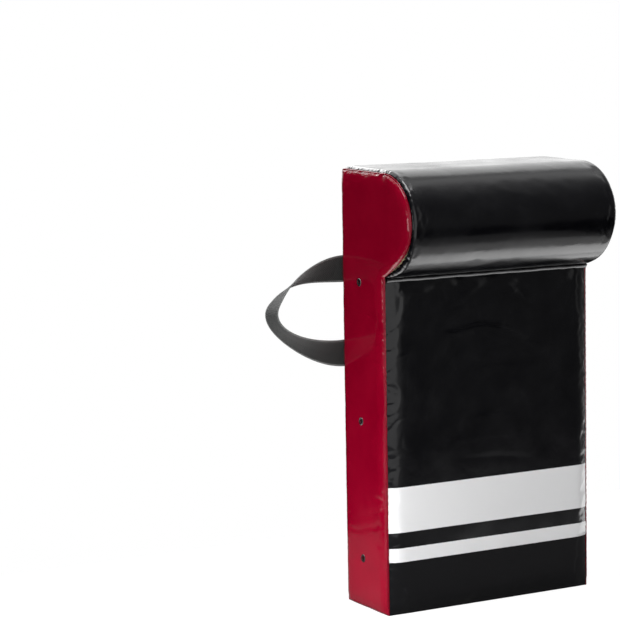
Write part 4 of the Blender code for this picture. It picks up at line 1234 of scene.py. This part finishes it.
def plated(name, dull, bright, roughness, grain):
    """Plating between two tones, with a grain of one size."""
    made, tree, shader = start_material(name, {"Metallic": 1.0})
    place = add_node(tree, "ShaderNodeTexCoord").outputs["Object"]
    cloud = add_node(tree, "ShaderNodeTexNoise", {"Scale": 1 / grain, "Detail": 4.0},
                     {"Vector": place})
    tone = add_node(tree, "ShaderNodeMix", {
        "data_type": "RGBA", 6: linear(dull), 7: linear(bright),
    }, {0: cloud.outputs["Fac"]})
    gloss = add_node(tree, "ShaderNodeMapRange", {
        "To Min": roughness, "To Max": roughness + 0.2,
    }, {"Value": cloud.outputs["Fac"]})
    pits = add_node(tree, "ShaderNodeBump", {"Strength": 0.2, "Distance": 0.05 * MM},
                    {"Height": cloud.outputs["Fac"]})
    tree.links.new(tone.outputs[2], shader.inputs["Base Color"])
    tree.links.new(gloss.outputs[0], shader.inputs["Roughness"])
    tree.links.new(pits.outputs[0], shader.inputs["Normal"])
    return made


dark_plate = plated("dark_plated_brass", "#4a4a4e", "#8c8a88", 0.22, 1.5 * MM)
zip_plate = plated("black_nickel_plated_zinc", "#3e3f45", "#73747c", 0.18, 2.5 * MM)

# %% [markdown]
# The zip's tape is woven polyester with a rib every millimetre and a half, and its teeth
# are moulded acetal, smoother and a little glossier. Both are one node, so the distance
# from the zip's middle picks the finish.

# %% Zip tape and teeth
TEETH_HALF, TAPE_RIB = 3.9 * MM, 1.5 * MM
zip_tape, tree, shader = start_material("polyester_tape_with_acetal_teeth", {
    "Specular IOR Level": 0.4,
})
place = add_node(tree, "ShaderNodeTexCoord").outputs["Object"]
parts = add_node(tree, "ShaderNodeSeparateXYZ", links={0: place})
off_middle = add_node(tree, "ShaderNodeMath", {"operation": "ABSOLUTE"},
                      {0: parts.outputs["X"]})
on_tape = add_node(tree, "ShaderNodeMath", {"operation": "GREATER_THAN", 1: TEETH_HALF},
                   {0: off_middle.outputs[0]})
slant = add_node(tree, "ShaderNodeMath", {"operation": "MULTIPLY_ADD", 1: 0.5},
                 {0: off_middle.outputs[0], 2: parts.outputs["Z"]})
rib_turns = add_node(tree, "ShaderNodeMath", {
    "operation": "MULTIPLY", 1: 2 * math.pi / TAPE_RIB,
}, {0: slant.outputs[0]})
rib = add_node(tree, "ShaderNodeMath", {"operation": "SINE"}, {0: rib_turns.outputs[0]})
rib_height = add_node(tree, "ShaderNodeMath", {"operation": "MULTIPLY"},
                      {0: rib.outputs[0], 1: on_tape.outputs[0]})
thread_tone = add_node(tree, "ShaderNodeMapRange", {"From Min": -1.0, "From Max": 1.0},
                       {"Value": rib.outputs[0]})
tape_colour = add_node(tree, "ShaderNodeMix", {
    "data_type": "RGBA", 6: linear("#0f0f11"), 7: linear("#26262a"),
}, {0: thread_tone.outputs[0]})
whole = add_node(tree, "ShaderNodeMix", {"data_type": "RGBA", 6: linear("#17171a")},
                 {0: on_tape.outputs[0], 7: tape_colour.outputs[2]})
sheen = add_node(tree, "ShaderNodeMapRange", {"To Min": 0.38, "To Max": 0.85},
                 {"Value": on_tape.outputs[0]})
relief = add_node(tree, "ShaderNodeBump", {"Strength": 0.5, "Distance": 0.2 * MM},
                  {"Height": rib_height.outputs[0]})
tree.links.new(whole.outputs[2], shader.inputs["Base Color"])
tree.links.new(sheen.outputs[0], shader.inputs["Roughness"])
tree.links.new(relief.outputs[0], shader.inputs["Normal"])
print("teeth end", round(TEETH_HALF * 1000, 1), "mm from the zip's middle")

# %% [markdown]
# The foam is open-cell polyurethane, cream and quite matt. Its cells are drawn 3 mm wide,
# coarser than the real ones, so that they show.

# %% Foam
foam_block, tree, shader = start_material("open_cell_polyurethane_foam", {
    "Roughness": 0.95, "Specular IOR Level": 0.2,
})
place = add_node(tree, "ShaderNodeTexCoord").outputs["Object"]
cells = add_node(tree, "ShaderNodeTexVoronoi", {"Scale": 1 / (3 * MM)}, {"Vector": place})
cell_tone = add_node(tree, "ShaderNodeMix", {
    "data_type": "RGBA", 6: linear("#9d946f"), 7: linear("#d6cba2"),
}, {0: cells.outputs["Distance"]})
cell_relief = add_node(tree, "ShaderNodeBump", {"Strength": 0.4, "Distance": 0.8 * MM},
                       {"Height": cells.outputs["Distance"]})
tree.links.new(cell_tone.outputs[2], shader.inputs["Base Color"])
tree.links.new(cell_relief.outputs[0], shader.inputs["Normal"])
for foam_name in ("foam_slab", "foam_roll"):
    bpy.data.objects[foam_name].data.materials.append(foam_block)

# %% Dress the frame's own pieces


def dress(node, material):
    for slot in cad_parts[node].material_slots:
        slot.material = material


finishes = {"eyelet": dark_plate, "stringer": zip_tape, "zip": zip_plate}
dressed = []
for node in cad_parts:
    word = next((word for word in finishes if word in node), None)
    if word:
        dress(node, finishes[word])
        dressed.append(node)
print("dressed", len(dressed), "nodes")
